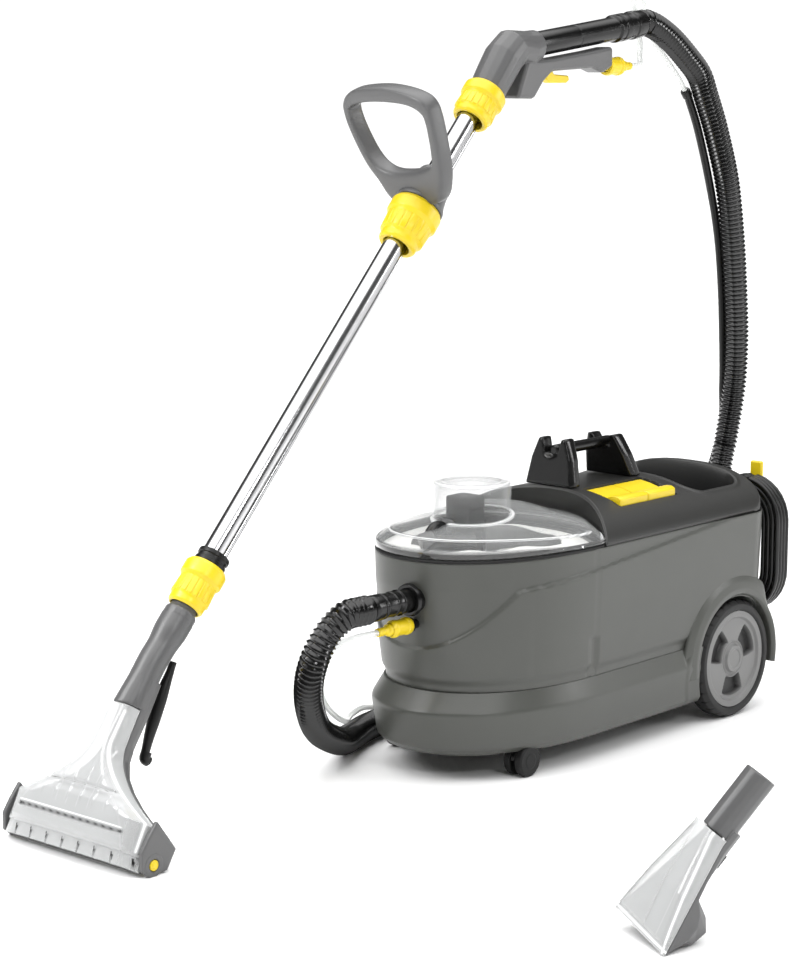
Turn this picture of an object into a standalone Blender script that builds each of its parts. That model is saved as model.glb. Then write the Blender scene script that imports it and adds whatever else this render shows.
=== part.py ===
"""Spray-extraction carpet cleaner: wheeled machine, hose, floor wand and hand nozzle.

Metres, +Z up. The machine's length runs along X with the hose end at -X and
the large wheels at +X. The wand stands in a plane parallel to XZ beside the
machine's middle, with its floor head in front of the hose end.
"""

import math

import bmesh
import bpy
import numpy as np
from mathutils import Matrix, Vector

# ---------------------------------------------------------------- dimensions
GAP = 0.0004  # clearance between pieces that touch
FIT = 0.0010  # clearance of pieces that slide or turn

# Machine housing
FRONT_X = -0.355
REAR_X = 0.335
HALF_WIDTH = 0.154
NOSE_LENGTH = 0.25  # length of the rounded front end
NOSE_POWER = 2.2  # 2 is an ellipse, more is squarer
NOSE_POINTS = 27
REAR_CORNER = 0.045
WALL = 0.004
PAN_BOTTOM = 0.038
PAN_EDGE = 0.102
BODY_BOTTOM = 0.128
BODY_TOP = 0.316
SEAL_HEIGHT = 0.004
LID_BOTTOM = BODY_TOP + SEAL_HEIGHT + GAP
CROWN_RISE = 0.057  # top of the cover's crown above its side edge
BULKHEAD_X = -0.028
LID_SPAN_X = -0.020  # where the lid meets the cover on the centre line
LID_SIDE_X = -0.092  # and at the sides

# Turret on the lid
TURRET_X = -0.209
TURRET_RADIUS = 0.057
TURRET_TOP = 0.411
LID_WALL = 0.0028
LID_SLOPE = 0.030  # fall of the lid's top from the cover to the front

# Storage well in the cover
WELL_FRONT = 0.178
WELL_REAR = 0.316
WELL_HALF = 0.116
WELL_FLOOR = 0.262

# Carry handle
HANDLE_Y = 0.012
HANDLE_FRONT = -0.026
HANDLE_REAR = 0.145
HANDLE_TOP = 0.449
BAR_RADIUS = 0.009
BAR_Z = 0.430

# Switch pedals
PEDAL_X = 0.002
PEDAL_LENGTH = 0.069
PEDAL_NEAR = -0.110
PEDAL_FAR = -0.042

# Wheels
WHEEL_X = 0.243
WHEEL_RADIUS = 0.0915
WHEEL_WIDTH = 0.036
WHEEL_OUT = 0.158  # outer face of the tyre
RIM_RADIUS = 0.0755
AXLE_RADIUS = 0.006
ARCH_CLEARANCE = 0.007
CASTOR_X = -0.241
CASTOR_Y = 0.114
CASTOR_RADIUS = 0.023
CASTOR_TRAIL = 0.010
CASTOR_WHEEL_WIDTH = 0.013
CASTOR_PLATE = 0.007  # thickness of the fork's plate
CASTOR_HUB = 0.004

# Hose
HOSE_RADIUS = 0.021
HOSE_Y = -0.014
HOSE_Z = BODY_TOP - 0.054
SOCKET_X = -0.3580
CUFF_RADIUS = 0.0168
CUFF_LENGTH = 0.088
SPRAY_HOSE_RADIUS = 0.0045
SHEATH_RADIUS = 0.0070
COUPLING_Z = BODY_TOP - 0.090
COUPLING_RADIUS = 0.0125
COUPLING_LENGTH = 0.040

# Wand
WAND_Y = 0.079
WAND_FOOT = Vector((-0.706, WAND_Y, 0.293))  # centre of the lower nut's foot
WAND_ANGLE = math.radians(47.2)
TUBE_RADIUS = 0.0150
SPRAY_TUBE_RADIUS = 0.0045
NUT_BORE = 0.0203
LOWER_NUT = (0.000, 0.066, 0.0245, 0.0300)  # start, end, radius at start, at end
MIDDLE_NUT = (0.620, 0.690, 0.0280, 0.0385)
UPPER_NUT = (0.856, 0.913, 0.0270, 0.0330)
GRIP_RADIUS = 0.0185
GRIP_START = Vector((0.020, WAND_Y, 1.030))
GRIP_END = Vector((0.215, WAND_Y, 1.0550))

# Floor head
HEAD_WIDTH = 0.250
CHEEK_Y = 0.1284  # inner face of the head's cheeks, from the wand's plane
HEAD_APEX = Vector((-0.806, WAND_Y, 0.177))
HEAD_LIP = Vector((-0.908, WAND_Y, 0.006))
HEAD_WALL = 0.003

# Hand nozzle
HAND_LIP = (-0.675, -0.6465, 0.0115)
HAND_HEADING = -38.5  # degrees from +X of the pipe's lean
HAND_RISE = 51.7
HAND_ROLL = 17.0
HAND_LENGTH = 0.230
HAND_HEAD = 0.145
HAND_WIDTH = 0.120
HAND_PIPE_RADIUS = 0.0200

# Mains lead
LEAD_RADIUS = 0.004

SIDES = 16  # sides of a turned piece
WHEEL_SIDES = 32

AXIS_X = Vector((1, 0, 0))
AXIS_Y = Vector((0, 1, 0))
AXIS_Z = Vector((0, 0, 1))
WAND_AXIS = Vector((math.cos(WAND_ANGLE), 0, math.sin(WAND_ANGLE)))
WAND_UNDER = Vector((math.sin(WAND_ANGLE), 0, -math.cos(WAND_ANGLE)))

MATERIALS = {
    "body_grey": ((0.20, 0.20, 0.185), 0.42, 0.0, 1.0),
    "cover_grey": ((0.032, 0.032, 0.030), 0.50, 0.0, 1.0),
    "yellow": ((0.92, 0.74, 0.01), 0.40, 0.0, 1.0),
    "black": ((0.012, 0.012, 0.012), 0.30, 0.0, 1.0),
    "rubber": ((0.018, 0.018, 0.018), 0.75, 0.0, 1.0),
    "clear": ((0.85, 0.87, 0.87), 0.06, 0.0, 0.35),
    "steel": ((0.62, 0.62, 0.62), 0.18, 1.0, 1.0),
    "white": ((0.80, 0.80, 0.80), 0.40, 0.0, 1.0),
    "copper": ((0.55, 0.27, 0.12), 0.35, 1.0, 1.0),
}

ROOT = None


# ------------------------------------------------------------------- helpers
def clear_scene():
    for obj in list(bpy.data.objects):
        bpy.data.objects.remove(obj, do_unlink=True)


def material(name):
    """The Principled material of this name, made the first time it is asked for."""
    found = bpy.data.materials.get(name)
    if found:
        return found
    colour, roughness, metallic, alpha = MATERIALS[name]
    made = bpy.data.materials.new(name)
    made.use_nodes = True
    made.diffuse_color = (*colour, alpha)
    shader = made.node_tree.nodes["Principled BSDF"]
    shader.inputs["Base Color"].default_value = (*colour, 1.0)
    shader.inputs["Roughness"].default_value = roughness
    shader.inputs["Metallic"].default_value = metallic
    shader.inputs["Alpha"].default_value = alpha
    return made


def add_object(name, data, look, parent=None):
    obj = bpy.data.objects.new(name, data)
    bpy.context.scene.collection.objects.link(obj)
    obj.parent = parent or ROOT
    if look:
        data.materials.append(material(look))
    return obj


def finish_bmesh(name, bm, look, sharp=35.0):
    bmesh.ops.recalc_face_normals(bm, faces=bm.faces)
    mesh = bpy.data.meshes.new(name)
    bm.to_mesh(mesh)
    bm.free()
    mesh.shade_smooth()
    mesh.set_sharp_from_angle(angle=math.radians(sharp))
    return add_object(name, mesh, look)


def loft(name, rings, look, closed=False):
    """A closed body through rings of equal point counts, with flat caps or joined end to end."""
    bm = bmesh.new()
    loops = [[bm.verts.new(point) for point in ring] for ring in rings]
    pairs = list(zip(loops, loops[1:]))
    if closed:
        pairs.append((loops[-1], loops[0]))
    for low, high in pairs:
        for i in range(len(low)):
            j = (i + 1) % len(low)
            bm.faces.new((low[i], low[j], high[j], high[i]))
    if not closed:
        bm.faces.new(loops[0])
        bm.faces.new(loops[-1])
    return finish_bmesh(name, bm, look)


def extruded(name, outline, origin, across, up, depth, look, bevel=0.0):
    """An outline in the plane of across and up, given depth evenly to both sides of origin."""
    normal = across.cross(up).normalized()
    base = Vector(origin) - normal * depth / 2
    ring = [base + across * a + up * b for a, b in outline]
    obj = loft(name, [ring, [point + normal * depth for point in ring]], look)
    if bevel:
        add_bevel(obj, bevel)
    return obj


def box(name, low, high, look, bevel=0.0):
    """A block between two corners, with its edges rounded by bevel."""
    outline = [(low[0], low[1]), (high[0], low[1]), (high[0], high[1]), (low[0], high[1])]
    rings = [[(x, y, z) for x, y in outline] for z in (low[2], high[2])]
    obj = loft(name, rings, look)
    if bevel:
        add_bevel(obj, bevel)
    return obj


def add_bevel(obj, width, segments=1, angle=30.0):
    modifier = obj.modifiers.new("bevel", "BEVEL")
    modifier.width = width
    modifier.segments = segments
    modifier.limit_method = "ANGLE"
    modifier.angle_limit = math.radians(angle)


def turned(name, profile, look, place=(0, 0, 0), axis=AXIS_Z, sides=SIDES, ring=False):
    """A turned body: (radius, height) points down its outer side, round axis at place."""
    mesh = bpy.data.meshes.new(name)
    count = len(profile)
    edges = [(i, i + 1) for i in range(count - 1)]
    if ring:
        edges.append((count - 1, 0))
    mesh.from_pydata([(r, 0, h) for r, h in profile], edges, [])
    obj = add_object(name, mesh, look)
    obj.location = place
    obj.rotation_mode = "QUATERNION"
    obj.rotation_quaternion = Vector(axis).to_track_quat("Z", "Y")
    screw = obj.modifiers.new("turn", "SCREW")
    screw.steps = screw.render_steps = sides
    screw.use_merge_vertices = True
    screw.merge_threshold = 0.00002
    screw.use_smooth_shade = True
    return obj


def rod(name, start, end, radius, look, sides=SIDES):
    """A solid round bar from start to end."""
    run = Vector(end) - Vector(start)
    profile = [(0, run.length), (radius, run.length), (radius, 0), (0, 0)]
    return turned(name, profile, look, start, run, sides)


def pipe(name, start, end, radius, bore, look, sides=SIDES):
    """A round bar with a bore right through."""
    run = Vector(end) - Vector(start)
    profile = [(radius, run.length), (radius, 0), (bore, 0), (bore, run.length)]
    return turned(name, profile, look, start, run, sides, ring=True)


def hide(obj):
    obj.hide_render = True
    obj.display_type = "WIRE"
    obj.data.materials.clear()
    return obj


def boolean(obj, other, operation="DIFFERENCE"):
    """Combines obj with a helper, which is hidden."""
    modifier = obj.modifiers.new(operation.lower(), "BOOLEAN")
    modifier.operation = operation
    modifier.solver = "EXACT"
    modifier.object = hide(other)
    return obj


def on_axis(obj, point):
    """Moves a piece's origin to a point on its joint's axis, leaving its shape in place."""
    point = Vector(point)
    local = obj.matrix_basis.inverted() @ point
    obj.data.transform(Matrix.Translation(-local))
    obj.location = point
    return obj


def arc(centre, radius, start, end, count):
    """Points of an arc in a plane, angles in degrees."""
    angles = np.radians(np.linspace(start, end, count))
    return [(centre[0] + radius * math.cos(a), centre[1] + radius * math.sin(a)) for a in angles]


def rounded_rectangle(x0, x1, y0, y1, radius, count=5):
    corners = ((x1, y1, 0), (x0, y1, 90), (x0, y0, 180), (x1, y0, 270))
    points = []
    for x, y, angle in corners:
        centre = (x - radius if x == x1 else x + radius, y - radius if y == y1 else y + radius)
        points += arc(centre, radius, angle, angle + 90, count)
    return points


def smooth_route(points, spacing):
    """Points evenly spaced along a Catmull-Rom curve through the given ones."""
    given = [2 * np.array(points[0]) - np.array(points[1])]
    given += [np.array(point) for point in points]
    given.append(2 * given[-1] - given[-2])
    fine = []
    for a, b, c, d in zip(given, given[1:], given[2:], given[3:]):
        for t in np.linspace(0, 1, 24, endpoint=False):
            bend = (2 * a - 5 * b + 4 * c - d) * t**2 + (3 * b - a - 3 * c + d) * t**3
            fine.append(0.5 * (2 * b + (c - a) * t + bend))
    fine = np.array(fine + [given[-2]])
    run = np.concatenate([[0], np.cumsum(np.linalg.norm(np.diff(fine, axis=0), axis=1))])
    wanted = np.linspace(0, run[-1], max(2, round(run[-1] / spacing)) + 1)
    return np.stack([np.interp(wanted, run, fine[:, k]) for k in range(3)], axis=1)


def cord(name, points, radius, spacing, look, resolution=2):
    """A round cord: a smooth curve through the points, with a straight first and last step."""
    route = np.array([points[0], *smooth_route(points[1:-1], spacing), points[-1]])
    curve = bpy.data.curves.new(name, "CURVE")
    curve.dimensions = "3D"
    curve.bevel_depth = radius
    curve.bevel_resolution = resolution
    curve.use_fill_caps = True
    spline = curve.splines.new("POLY")
    spline.points.add(len(route) - 1)
    spline.points.foreach_set("co", np.c_[route, np.ones(len(route))].ravel())
    return add_object(name, curve, look)


# ----------------------------------------------------------- plans and levels
def plan(inset=0.0, rear=REAR_X, nose_inset=0.0):
    """The housing's outline seen from above: a rounded front and a square rear."""
    half = HALF_WIDTH - inset
    front = FRONT_X + inset + nose_inset
    start = FRONT_X + NOSE_LENGTH
    reach = start - front
    points = []
    for a in np.radians(np.linspace(90, 270, NOSE_POINTS)):
        x = start - reach * abs(math.cos(a)) ** (2 / NOSE_POWER)
        y = half * math.copysign(abs(math.sin(a)) ** (2 / NOSE_POWER), math.sin(a))
        points.append((x, y))
    back = rear - inset
    radius = max(REAR_CORNER - inset, 0.004)
    points += arc((back - radius, -half + radius), radius, -90, 0, 4)
    points += arc((back - radius, half - radius), radius, 0, 90, 4)
    return points


def level(outline, z):
    return [(x, y, z) for x, y in outline]


def crown_height(y):
    """Height of the cover's crown above the seam at a distance y from the middle."""
    share = min(abs(y) / HALF_WIDTH, 1.0)
    return CROWN_RISE * (1.0 - share**2.6) ** 0.75


def crown_block(name, x0, x1, base, drops, half, look):
    """A bar along X whose top is the crown, lowered at each end by one of the drops."""
    rings = []
    for x, drop in zip((x0, x1), drops):
        top = []
        for a in np.linspace(-math.pi / 2, math.pi / 2, 21)[1:-1]:
            y = half * math.sin(a)
            rise = crown_height(y * HALF_WIDTH / half) * (1 - drop / CROWN_RISE)
            top.append((x, y, LID_BOTTOM + max(rise, 0.001)))
        rings.append([(x, -half, base), (x, -half, LID_BOTTOM)] + top + [(x, half, LID_BOTTOM),
            (x, half, base)])
    return loft(name, rings, look)


def lid_plan(inset, grow=0.0):
    """The lid's outline: the rounded front and, behind, an arc across the housing."""
    half = HALF_WIDTH - inset
    front = [(x, y) for x, y in plan(inset)[:NOSE_POINTS]]
    bulge = LID_SPAN_X - LID_SIDE_X
    rear = []
    for y in np.linspace(-half, half, 15):
        share = y / HALF_WIDTH
        rear.append((LID_SPAN_X - bulge * share**2 - inset + grow, y))
    return front + rear


# -------------------------------------------------------------------- housing
def make_base_pan():
    outer = [
        level(plan(0.010, nose_inset=0.004), PAN_BOTTOM),
        level(plan(0.002), PAN_BOTTOM + 0.010),
        level(plan(-0.005), PAN_EDGE - 0.004),
        level(plan(-0.004), PAN_EDGE),
        level(plan(0.006, nose_inset=0.012), BODY_BOTTOM - GAP),
    ]
    pan = loft("base_pan", outer, "body_grey")
    inner = rounded_rectangle(-0.24, 0.30, -0.100, 0.100, 0.03)
    hollow = loft("pan_hollow", [level(inner, PAN_BOTTOM + WALL), level(inner, BODY_BOTTOM + 0.01)], None)
    boolean(pan, hollow)
    for side in (-1, 1):
        boolean(pan, wheel_arch(f"pan_arch_{side}", side))
        place = (CASTOR_X, side * CASTOR_Y, PAN_BOTTOM - 0.02)
        boolean(pan, rod(f"castor_pocket_{side}", place, Vector(place) + AXIS_Z * 0.031, 0.036, None))
        top = (CASTOR_X, side * CASTOR_Y, PAN_BOTTOM + 0.030)
        boolean(pan, rod(f"castor_bore_{side}", place, top, 0.0048, None, 16))
    boolean(pan, rod("gland_bore", (0.288, -0.060, 0.100), (0.36, -0.060, 0.100), 0.0090, None))
    boolean(pan, rod("axle_bore", (WHEEL_X, -0.2, WHEEL_RADIUS), (WHEEL_X, 0.2, WHEEL_RADIUS),
        AXLE_RADIUS + GAP, None))
    return pan


def wheel_arch(name, side):
    inside = WHEEL_OUT - WHEEL_WIDTH - ARCH_CLEARANCE
    start = (WHEEL_X, side * inside, WHEEL_RADIUS)
    end = (WHEEL_X, side * 0.25, WHEEL_RADIUS)
    return rod(name, start, end, WHEEL_RADIUS + ARCH_CLEARANCE, None, WHEEL_SIDES)


def make_body():
    outer = [
        level(plan(0.007, nose_inset=0.016), BODY_BOTTOM),
        level(plan(0.004, nose_inset=0.007), BODY_BOTTOM + 0.07),
        level(plan(0.001), BODY_TOP - 0.040),
        level(plan(0.0), BODY_TOP),
    ]
    body = loft("fresh_water_body", outer, "body_grey")
    front = [
        level(front_room(0.007 + WALL, 0.014), BODY_BOTTOM + WALL),
        level(front_room(0.003 + WALL, 0.003), BODY_TOP + 0.01),
    ]
    boolean(body, loft("front_room", front, None))
    inside = WHEEL_OUT - WHEEL_WIDTH - ARCH_CLEARANCE - WALL
    rear = rounded_rectangle(BULKHEAD_X + 0.008, REAR_X - 0.014, -inside, inside, 0.02)
    boolean(body, loft("rear_room", [level(rear, BODY_BOTTOM + WALL), level(rear, BODY_TOP + 0.01)], None))
    for side in (-1, 1):
        boolean(body, wheel_arch(f"body_arch_{side}", side))
    boolean(body, rod("hose_bore", (-0.40, HOSE_Y, HOSE_Z), (-0.28, HOSE_Y, HOSE_Z), 0.0205, None))
    boolean(body, rod("spray_bore", (-0.40, HOSE_Y, COUPLING_Z), (-0.28, HOSE_Y, COUPLING_Z), 0.0080, None))
    return body


def front_room(inset, nose_inset):
    """The space in front of the bulkhead."""
    outline = plan(inset, nose_inset=nose_inset)[:NOSE_POINTS]
    half = HALF_WIDTH - inset
    return outline + [(BULKHEAD_X, -half), (BULKHEAD_X, half)]


def make_cover():
    cover = crown_block("top_cover", LID_SIDE_X - 0.02, REAR_X + 0.02, BODY_TOP + GAP, (0, 0), HALF_WIDTH,
        "cover_grey")
    rear = level(plan(0.0, REAR_X + 0.002), 0.2), level(plan(0.0, REAR_X + 0.002), 0.5)
    boolean(cover, loft("cover_plan", rear, None), "INTERSECT")
    tub = rounded_rectangle(WELL_FRONT - 0.003, WELL_REAR + 0.001, -0.1055, 0.1055, 0.025)
    boolean(cover, loft("well_tub", [level(tub, WELL_FLOOR - 0.003), level(tub, BODY_TOP + 0.01)], None),
        "UNION")
    rim = rounded_rectangle(WELL_FRONT, WELL_REAR - 0.001, -WELL_HALF, WELL_HALF, 0.035)
    throat = rounded_rectangle(WELL_FRONT + 0.004, WELL_REAR - 0.005, -0.100, 0.100, 0.022)
    well = [level(throat, WELL_FLOOR), level(throat, BODY_TOP + 0.006), level(rim, 0.345), level(rim, 0.45)]
    boolean(cover, loft("well", well, None))
    lid = lid_plan(-0.02, grow=FIT + 0.02)
    boolean(cover, loft("lid_space", [level(lid, 0.2), level(lid, 0.5)], None))
    under = crown_block("cover_under", -0.30, WELL_FRONT - 0.008, 0.25, (0.005, 0.005), 0.100, None)
    wall = rounded_rectangle(0.004, WELL_FRONT - 0.008, -0.100, 0.100, 0.02)
    boolean(under, loft("under_plan", [level(wall, 0.2), level(wall, 0.5)], None), "INTERSECT")
    boolean(cover, under)
    low = (PEDAL_X - FIT, PEDAL_NEAR - FIT, 0.3445)
    high = (PEDAL_X + 2 * PEDAL_LENGTH + 3 * FIT, PEDAL_FAR + FIT, 0.45)
    boolean(cover, box("pedal_pocket", low, high, None))
    return cover


def make_seal():
    outer, inner = lid_plan(-0.0005), lid_plan(0.0075)
    bm = bmesh.new()
    loops = []
    for outline, z in ((outer, BODY_TOP + GAP), (outer, LID_BOTTOM - GAP), (inner, LID_BOTTOM - GAP),
        (inner, BODY_TOP + GAP)):
        loops.append([bm.verts.new((x, y, z)) for x, y in outline])
    for low, high in zip(loops, loops[1:] + loops[:1]):
        for i in range(len(low)):
            j = (i + 1) % len(low)
            bm.faces.new((low[i], low[j], high[j], high[i]))
    return finish_bmesh("lid_seal", bm, "rubber")


def lid_body(name, inset, drop, look):
    """The lid's shape as a solid: the crown cut to the outline and chamfered at the front."""
    levels = ((0.0, 0.0), (0.010, 0.0), (0.029, 0.020), (0.040, 0.060), (0.058, 0.100))
    rings = [level(lid_plan(inset + step, grow=step), LID_BOTTOM + rise - drop) for rise, step in levels]
    body = loft(name, rings, look)
    ends = (FRONT_X - 0.01, LID_SPAN_X + 0.01)
    drops = (LID_SLOPE + drop, drop)
    crown = crown_block(f"{name}_crown", *ends, LID_BOTTOM - 0.01, drops, HALF_WIDTH - inset, None)
    boolean(body, crown, "INTERSECT")
    place = (TURRET_X, 0, LID_BOTTOM + 0.004)
    radius, top = TURRET_RADIUS - inset, TURRET_TOP - drop
    profile = [(0, top - place[2]), (radius - 0.003, top - place[2]), (radius, top - place[2] - 0.003),
        (radius, 0), (0, 0)]
    boolean(body, turned(f"{name}_turret", profile, None, place), "UNION")
    return body


def make_lid():
    lid = lid_body("lid_dome", 0.0, 0.0, "clear")
    hollow = lid_body("lid_hollow", LID_WALL, LID_WALL, None)
    boolean(lid, hollow)
    return lid


def tank_plan(inset, nose_inset, rear_gap):
    """The tank from above: the nose inside the walls, and a rear edge that keeps in front of the cover."""
    nose = plan(inset, nose_inset=nose_inset)[:NOSE_POINTS]
    half = HALF_WIDTH - inset
    rear = []
    for y in np.linspace(-half, half, 11):
        cover_edge = LID_SPAN_X - (LID_SPAN_X - LID_SIDE_X) * (y / HALF_WIDTH) ** 2
        rear.append((min(BULKHEAD_X, cover_edge) - rear_gap, float(y)))
    return nose + rear


def make_tank():
    """An open tub with sloping walls, which lifts straight up past the cover's front edge."""
    low_outline = tank_plan(0.026, 0.018, 0.008)
    high_outline = tank_plan(0.0135, 0.004, 0.006)
    low, high = level(low_outline, BODY_BOTTOM + WALL + 0.002), level(high_outline, BODY_TOP - 0.001)
    tank = loft("dirty_water_tank", [low, high], "clear")
    inner_low, inner_high = (
        [(x * 0.985 - 0.003, y * 0.975) for x, y in outline] for outline in (low_outline, high_outline)
    )
    hollow = [level(inner_low, BODY_BOTTOM + WALL + 0.005), level(inner_high, BODY_TOP + 0.01)]
    boolean(tank, loft("tank_hollow", hollow, None))
    return tank


def make_tank_fittings():
    column = pipe("float_cage", (TURRET_X, 0.012, 0.205), (TURRET_X, 0.012, 0.340), 0.030, 0.026, "black")
    inlet = box("float_box", (TURRET_X - 0.020, -0.010, 0.3415), (TURRET_X + 0.020, 0.034, 0.388),
        "black", 0.003)
    ball = turned("float_ball", arc_profile(0.018), "white", (TURRET_X, 0.012, 0.232), sides=SIDES)
    elbow = cord(
        "inlet_elbow",
        [(-0.308, HOSE_Y, 0.250), (-0.306, HOSE_Y, 0.290), (-0.296, HOSE_Y, 0.318),
        (-0.272, HOSE_Y, 0.327), (-0.243, -0.010, 0.326)],
        0.0135,
        0.012,
        "black",
    )
    strainer = pipe("lint_filter", (-0.100, 0.0, 0.150), (-0.100, 0.0, 0.290), 0.034, 0.032, "white")
    return column, inlet, ball, elbow, strainer


def arc_profile(radius, count=9):
    """A ball's profile, from top to bottom."""
    return [(max(0.0, radius * math.sin(a)) if 0 < i < count - 1 else 0.0, radius * math.cos(a))
            for i, a in enumerate(np.linspace(0, math.pi, count))]


def make_carry_handle():
    """Two forked posts joined by a round bar along the machine."""
    base = LID_BOTTOM + CROWN_RISE + GAP
    bar = rod("carry_handle", (HANDLE_FRONT + 0.022, HANDLE_Y, BAR_Z),
        (HANDLE_REAR - 0.010, HANDLE_Y, BAR_Z), BAR_RADIUS, "black")
    posts = (
        ("front", HANDLE_FRONT, 0.12, HANDLE_TOP, (0.0085, 0.018, 0.032)),
        ("rear", HANDLE_REAR, -0.35, HANDLE_TOP - 0.006, (-0.012, 0.0, 0.014)),
    )
    for name, x, lean, top, shifts in posts:
        valley = BAR_Z - 0.010
        outline = [(-0.046, base), (-0.038, top - 0.030), (-0.026, top), (-0.018, top),
            (-0.012, valley + 0.006), (0, valley)]
        outline += [(-y, z) for y, z in reversed(outline[:-1])]
        rings = []
        for shift, narrow in zip(shifts, (0.94, 1.0, 0.96)):
            rings.append([(x + shift + lean * (z - base), HANDLE_Y + y * narrow, z) for y, z in outline])
        boolean(bar, loft(f"handle_{name}", rings, None), "UNION")
    return bar


def make_pedals():
    """Two rocker pedals side by side; each turns on its far edge."""
    profile = [(PEDAL_FAR, 0.3745), (-0.060, 0.3715), (-0.078, 0.3665), (-0.088, 0.3690), (-0.094, 0.3715)]
    profile += [(-0.104, 0.3715), (PEDAL_NEAR, 0.3680), (PEDAL_NEAR, 0.3530), (-0.088, 0.3560),
        (PEDAL_FAR, 0.3600)]
    made = []
    for i, name in enumerate(("vacuum_pedal", "spray_pedal")):
        x = PEDAL_X + i * (PEDAL_LENGTH + FIT)
        pedal = loft(name, [[(x + step, y, z) for y, z in profile] for step in (0, PEDAL_LENGTH)], "yellow")
        add_bevel(pedal, 0.0016)
        made.append(on_axis(pedal, (x + PEDAL_LENGTH / 2, PEDAL_FAR - 0.004, 0.367)))
    return made


def make_badge():
    """The plain name plate on the near side."""
    top = BODY_TOP - 0.032
    low, high = (-0.060, -HALF_WIDTH - 0.0022, top - 0.048), (0.052, -HALF_WIDTH + 0.0003, top)
    return box("badge_plate", low, high, "white", 0.0006)


# --------------------------------------------------------------- running gear
def make_wheels():
    axle_end = WHEEL_OUT - 0.006
    axle = rod("rear_axle", (WHEEL_X, -axle_end, WHEEL_RADIUS), (WHEEL_X, axle_end, WHEEL_RADIUS),
        AXLE_RADIUS, "steel")
    made = [axle]
    half = WHEEL_WIDTH / 2
    shoulder = WHEEL_RADIUS - 0.006
    tyre = [(shoulder, half), (WHEEL_RADIUS, half - 0.008), (WHEEL_RADIUS, -half + 0.008),
        (shoulder, -half)]
    tyre += [(RIM_RADIUS + GAP, -half + 0.002), (RIM_RADIUS + GAP, half - 0.002)]
    rim = [(RIM_RADIUS, half - 0.004), (RIM_RADIUS, -half + 0.004), (0.020, -half + 0.004),
        (AXLE_RADIUS + GAP, -half + 0.004)]
    rim += [(AXLE_RADIUS + GAP, half - 0.010), (0.022, half - 0.006), (RIM_RADIUS - 0.010, half - 0.006)]
    for side, label in ((-1, "near"), (1, "far")):
        centre = (WHEEL_X, side * (WHEEL_OUT - half), WHEEL_RADIUS)
        axis = (0, side, 0)
        made.append(turned(f"tyre_{label}", tyre, "rubber", centre, axis, WHEEL_SIDES, ring=True))
        disc = turned(f"rim_{label}", rim, "body_grey", centre, axis, WHEEL_SIDES, ring=True)
        for k in range(3):
            boolean(disc, rim_window(f"window_{label}_{k}", centre, side, 90 + 120 * k))
        made.append(disc)
    return made


def rim_window(name, centre, side, angle):
    """The cutter of one of the three openings between the spokes."""
    inner, outer = 0.030, 0.060
    points = arc((0, 0), inner, angle - 30, angle + 30, 5) + arc((0, 0), outer, angle + 38, angle - 38, 9)
    return extruded(name, points, centre, AXIS_X, AXIS_Z, 0.1, None)


def make_castors():
    """Twin-wheel castors: the fork's plate stands between two discs on one hub."""
    made = []
    for side, label in ((-1, "near"), (1, "far")):
        x, y = CASTOR_X, side * CASTOR_Y
        hub = Vector((x + CASTOR_TRAIL, y, CASTOR_RADIUS))
        fork = rod(f"castor_fork_{label}", (x, y, 2 * CASTOR_RADIUS - 0.008), (x, y, PAN_BOTTOM + 0.028),
            0.0042, "black", 12)
        hood = arc((0, 0), CASTOR_RADIUS - 0.001, -20, 175, 12)
        boolean(fork, extruded(f"hood_{label}", hood, hub, AXIS_X, AXIS_Z, CASTOR_PLATE, None), "UNION")
        eye = AXIS_Y * (CASTOR_PLATE / 2)
        boolean(fork, rod(f"boss_{label}", hub - eye, hub + eye, 0.009, None), "UNION")
        through = AXIS_Y * 0.03
        boolean(fork, rod(f"eye_{label}", hub - through, hub + through, CASTOR_HUB + FIT / 2, None))
        made.append(on_axis(fork, (x, y, CASTOR_RADIUS)))
        inside, outside = CASTOR_PLATE / 2 + FIT, CASTOR_PLATE / 2 + FIT + CASTOR_WHEEL_WIDTH
        disc = [(0, outside), (CASTOR_RADIUS - 0.002, outside), (CASTOR_RADIUS, outside - 0.002),
            (CASTOR_RADIUS, inside)]
        profile = disc + [(CASTOR_HUB, inside), (CASTOR_HUB, -inside)] + [(r, -h) for r, h in disc[::-1]]
        made.append(turned(f"castor_wheel_{label}", profile, "rubber", hub, AXIS_Y, 20))
    return made


# ------------------------------------------------------------- inner machinery
def make_machinery():
    motor_x, floor = 0.075, BODY_BOTTOM + WALL + GAP
    motor = turned(
        "vacuum_motor",
        [(0, 0.150), (0.030, 0.150), (0.030, 0.120), (0.052, 0.112), (0.052, 0.060), (0.066, 0.056),
        (0.066, 0.030), (0, 0.030)],
        "black",
        (motor_x, 0, floor),
    )
    fan = [(0, 0.026), (0.014, 0.026), (0.058, 0.016), (0.058, 0.008), (0.014, 0.004), (0, 0.004)]
    impeller = turned("turbine_impeller", fan, "steel", (motor_x, 0, floor))
    pan_floor = PAN_BOTTOM + WALL + GAP
    pump = box("spray_pump", (-0.060, -0.040, pan_floor), (0.030, 0.030, pan_floor + 0.060), "black", 0.004)
    boolean(pump, rod("pump_head", (0.029, -0.005, pan_floor + 0.030), (0.070, -0.005, pan_floor + 0.030),
        0.022, None), "UNION")
    return motor, impeller, pump


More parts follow.
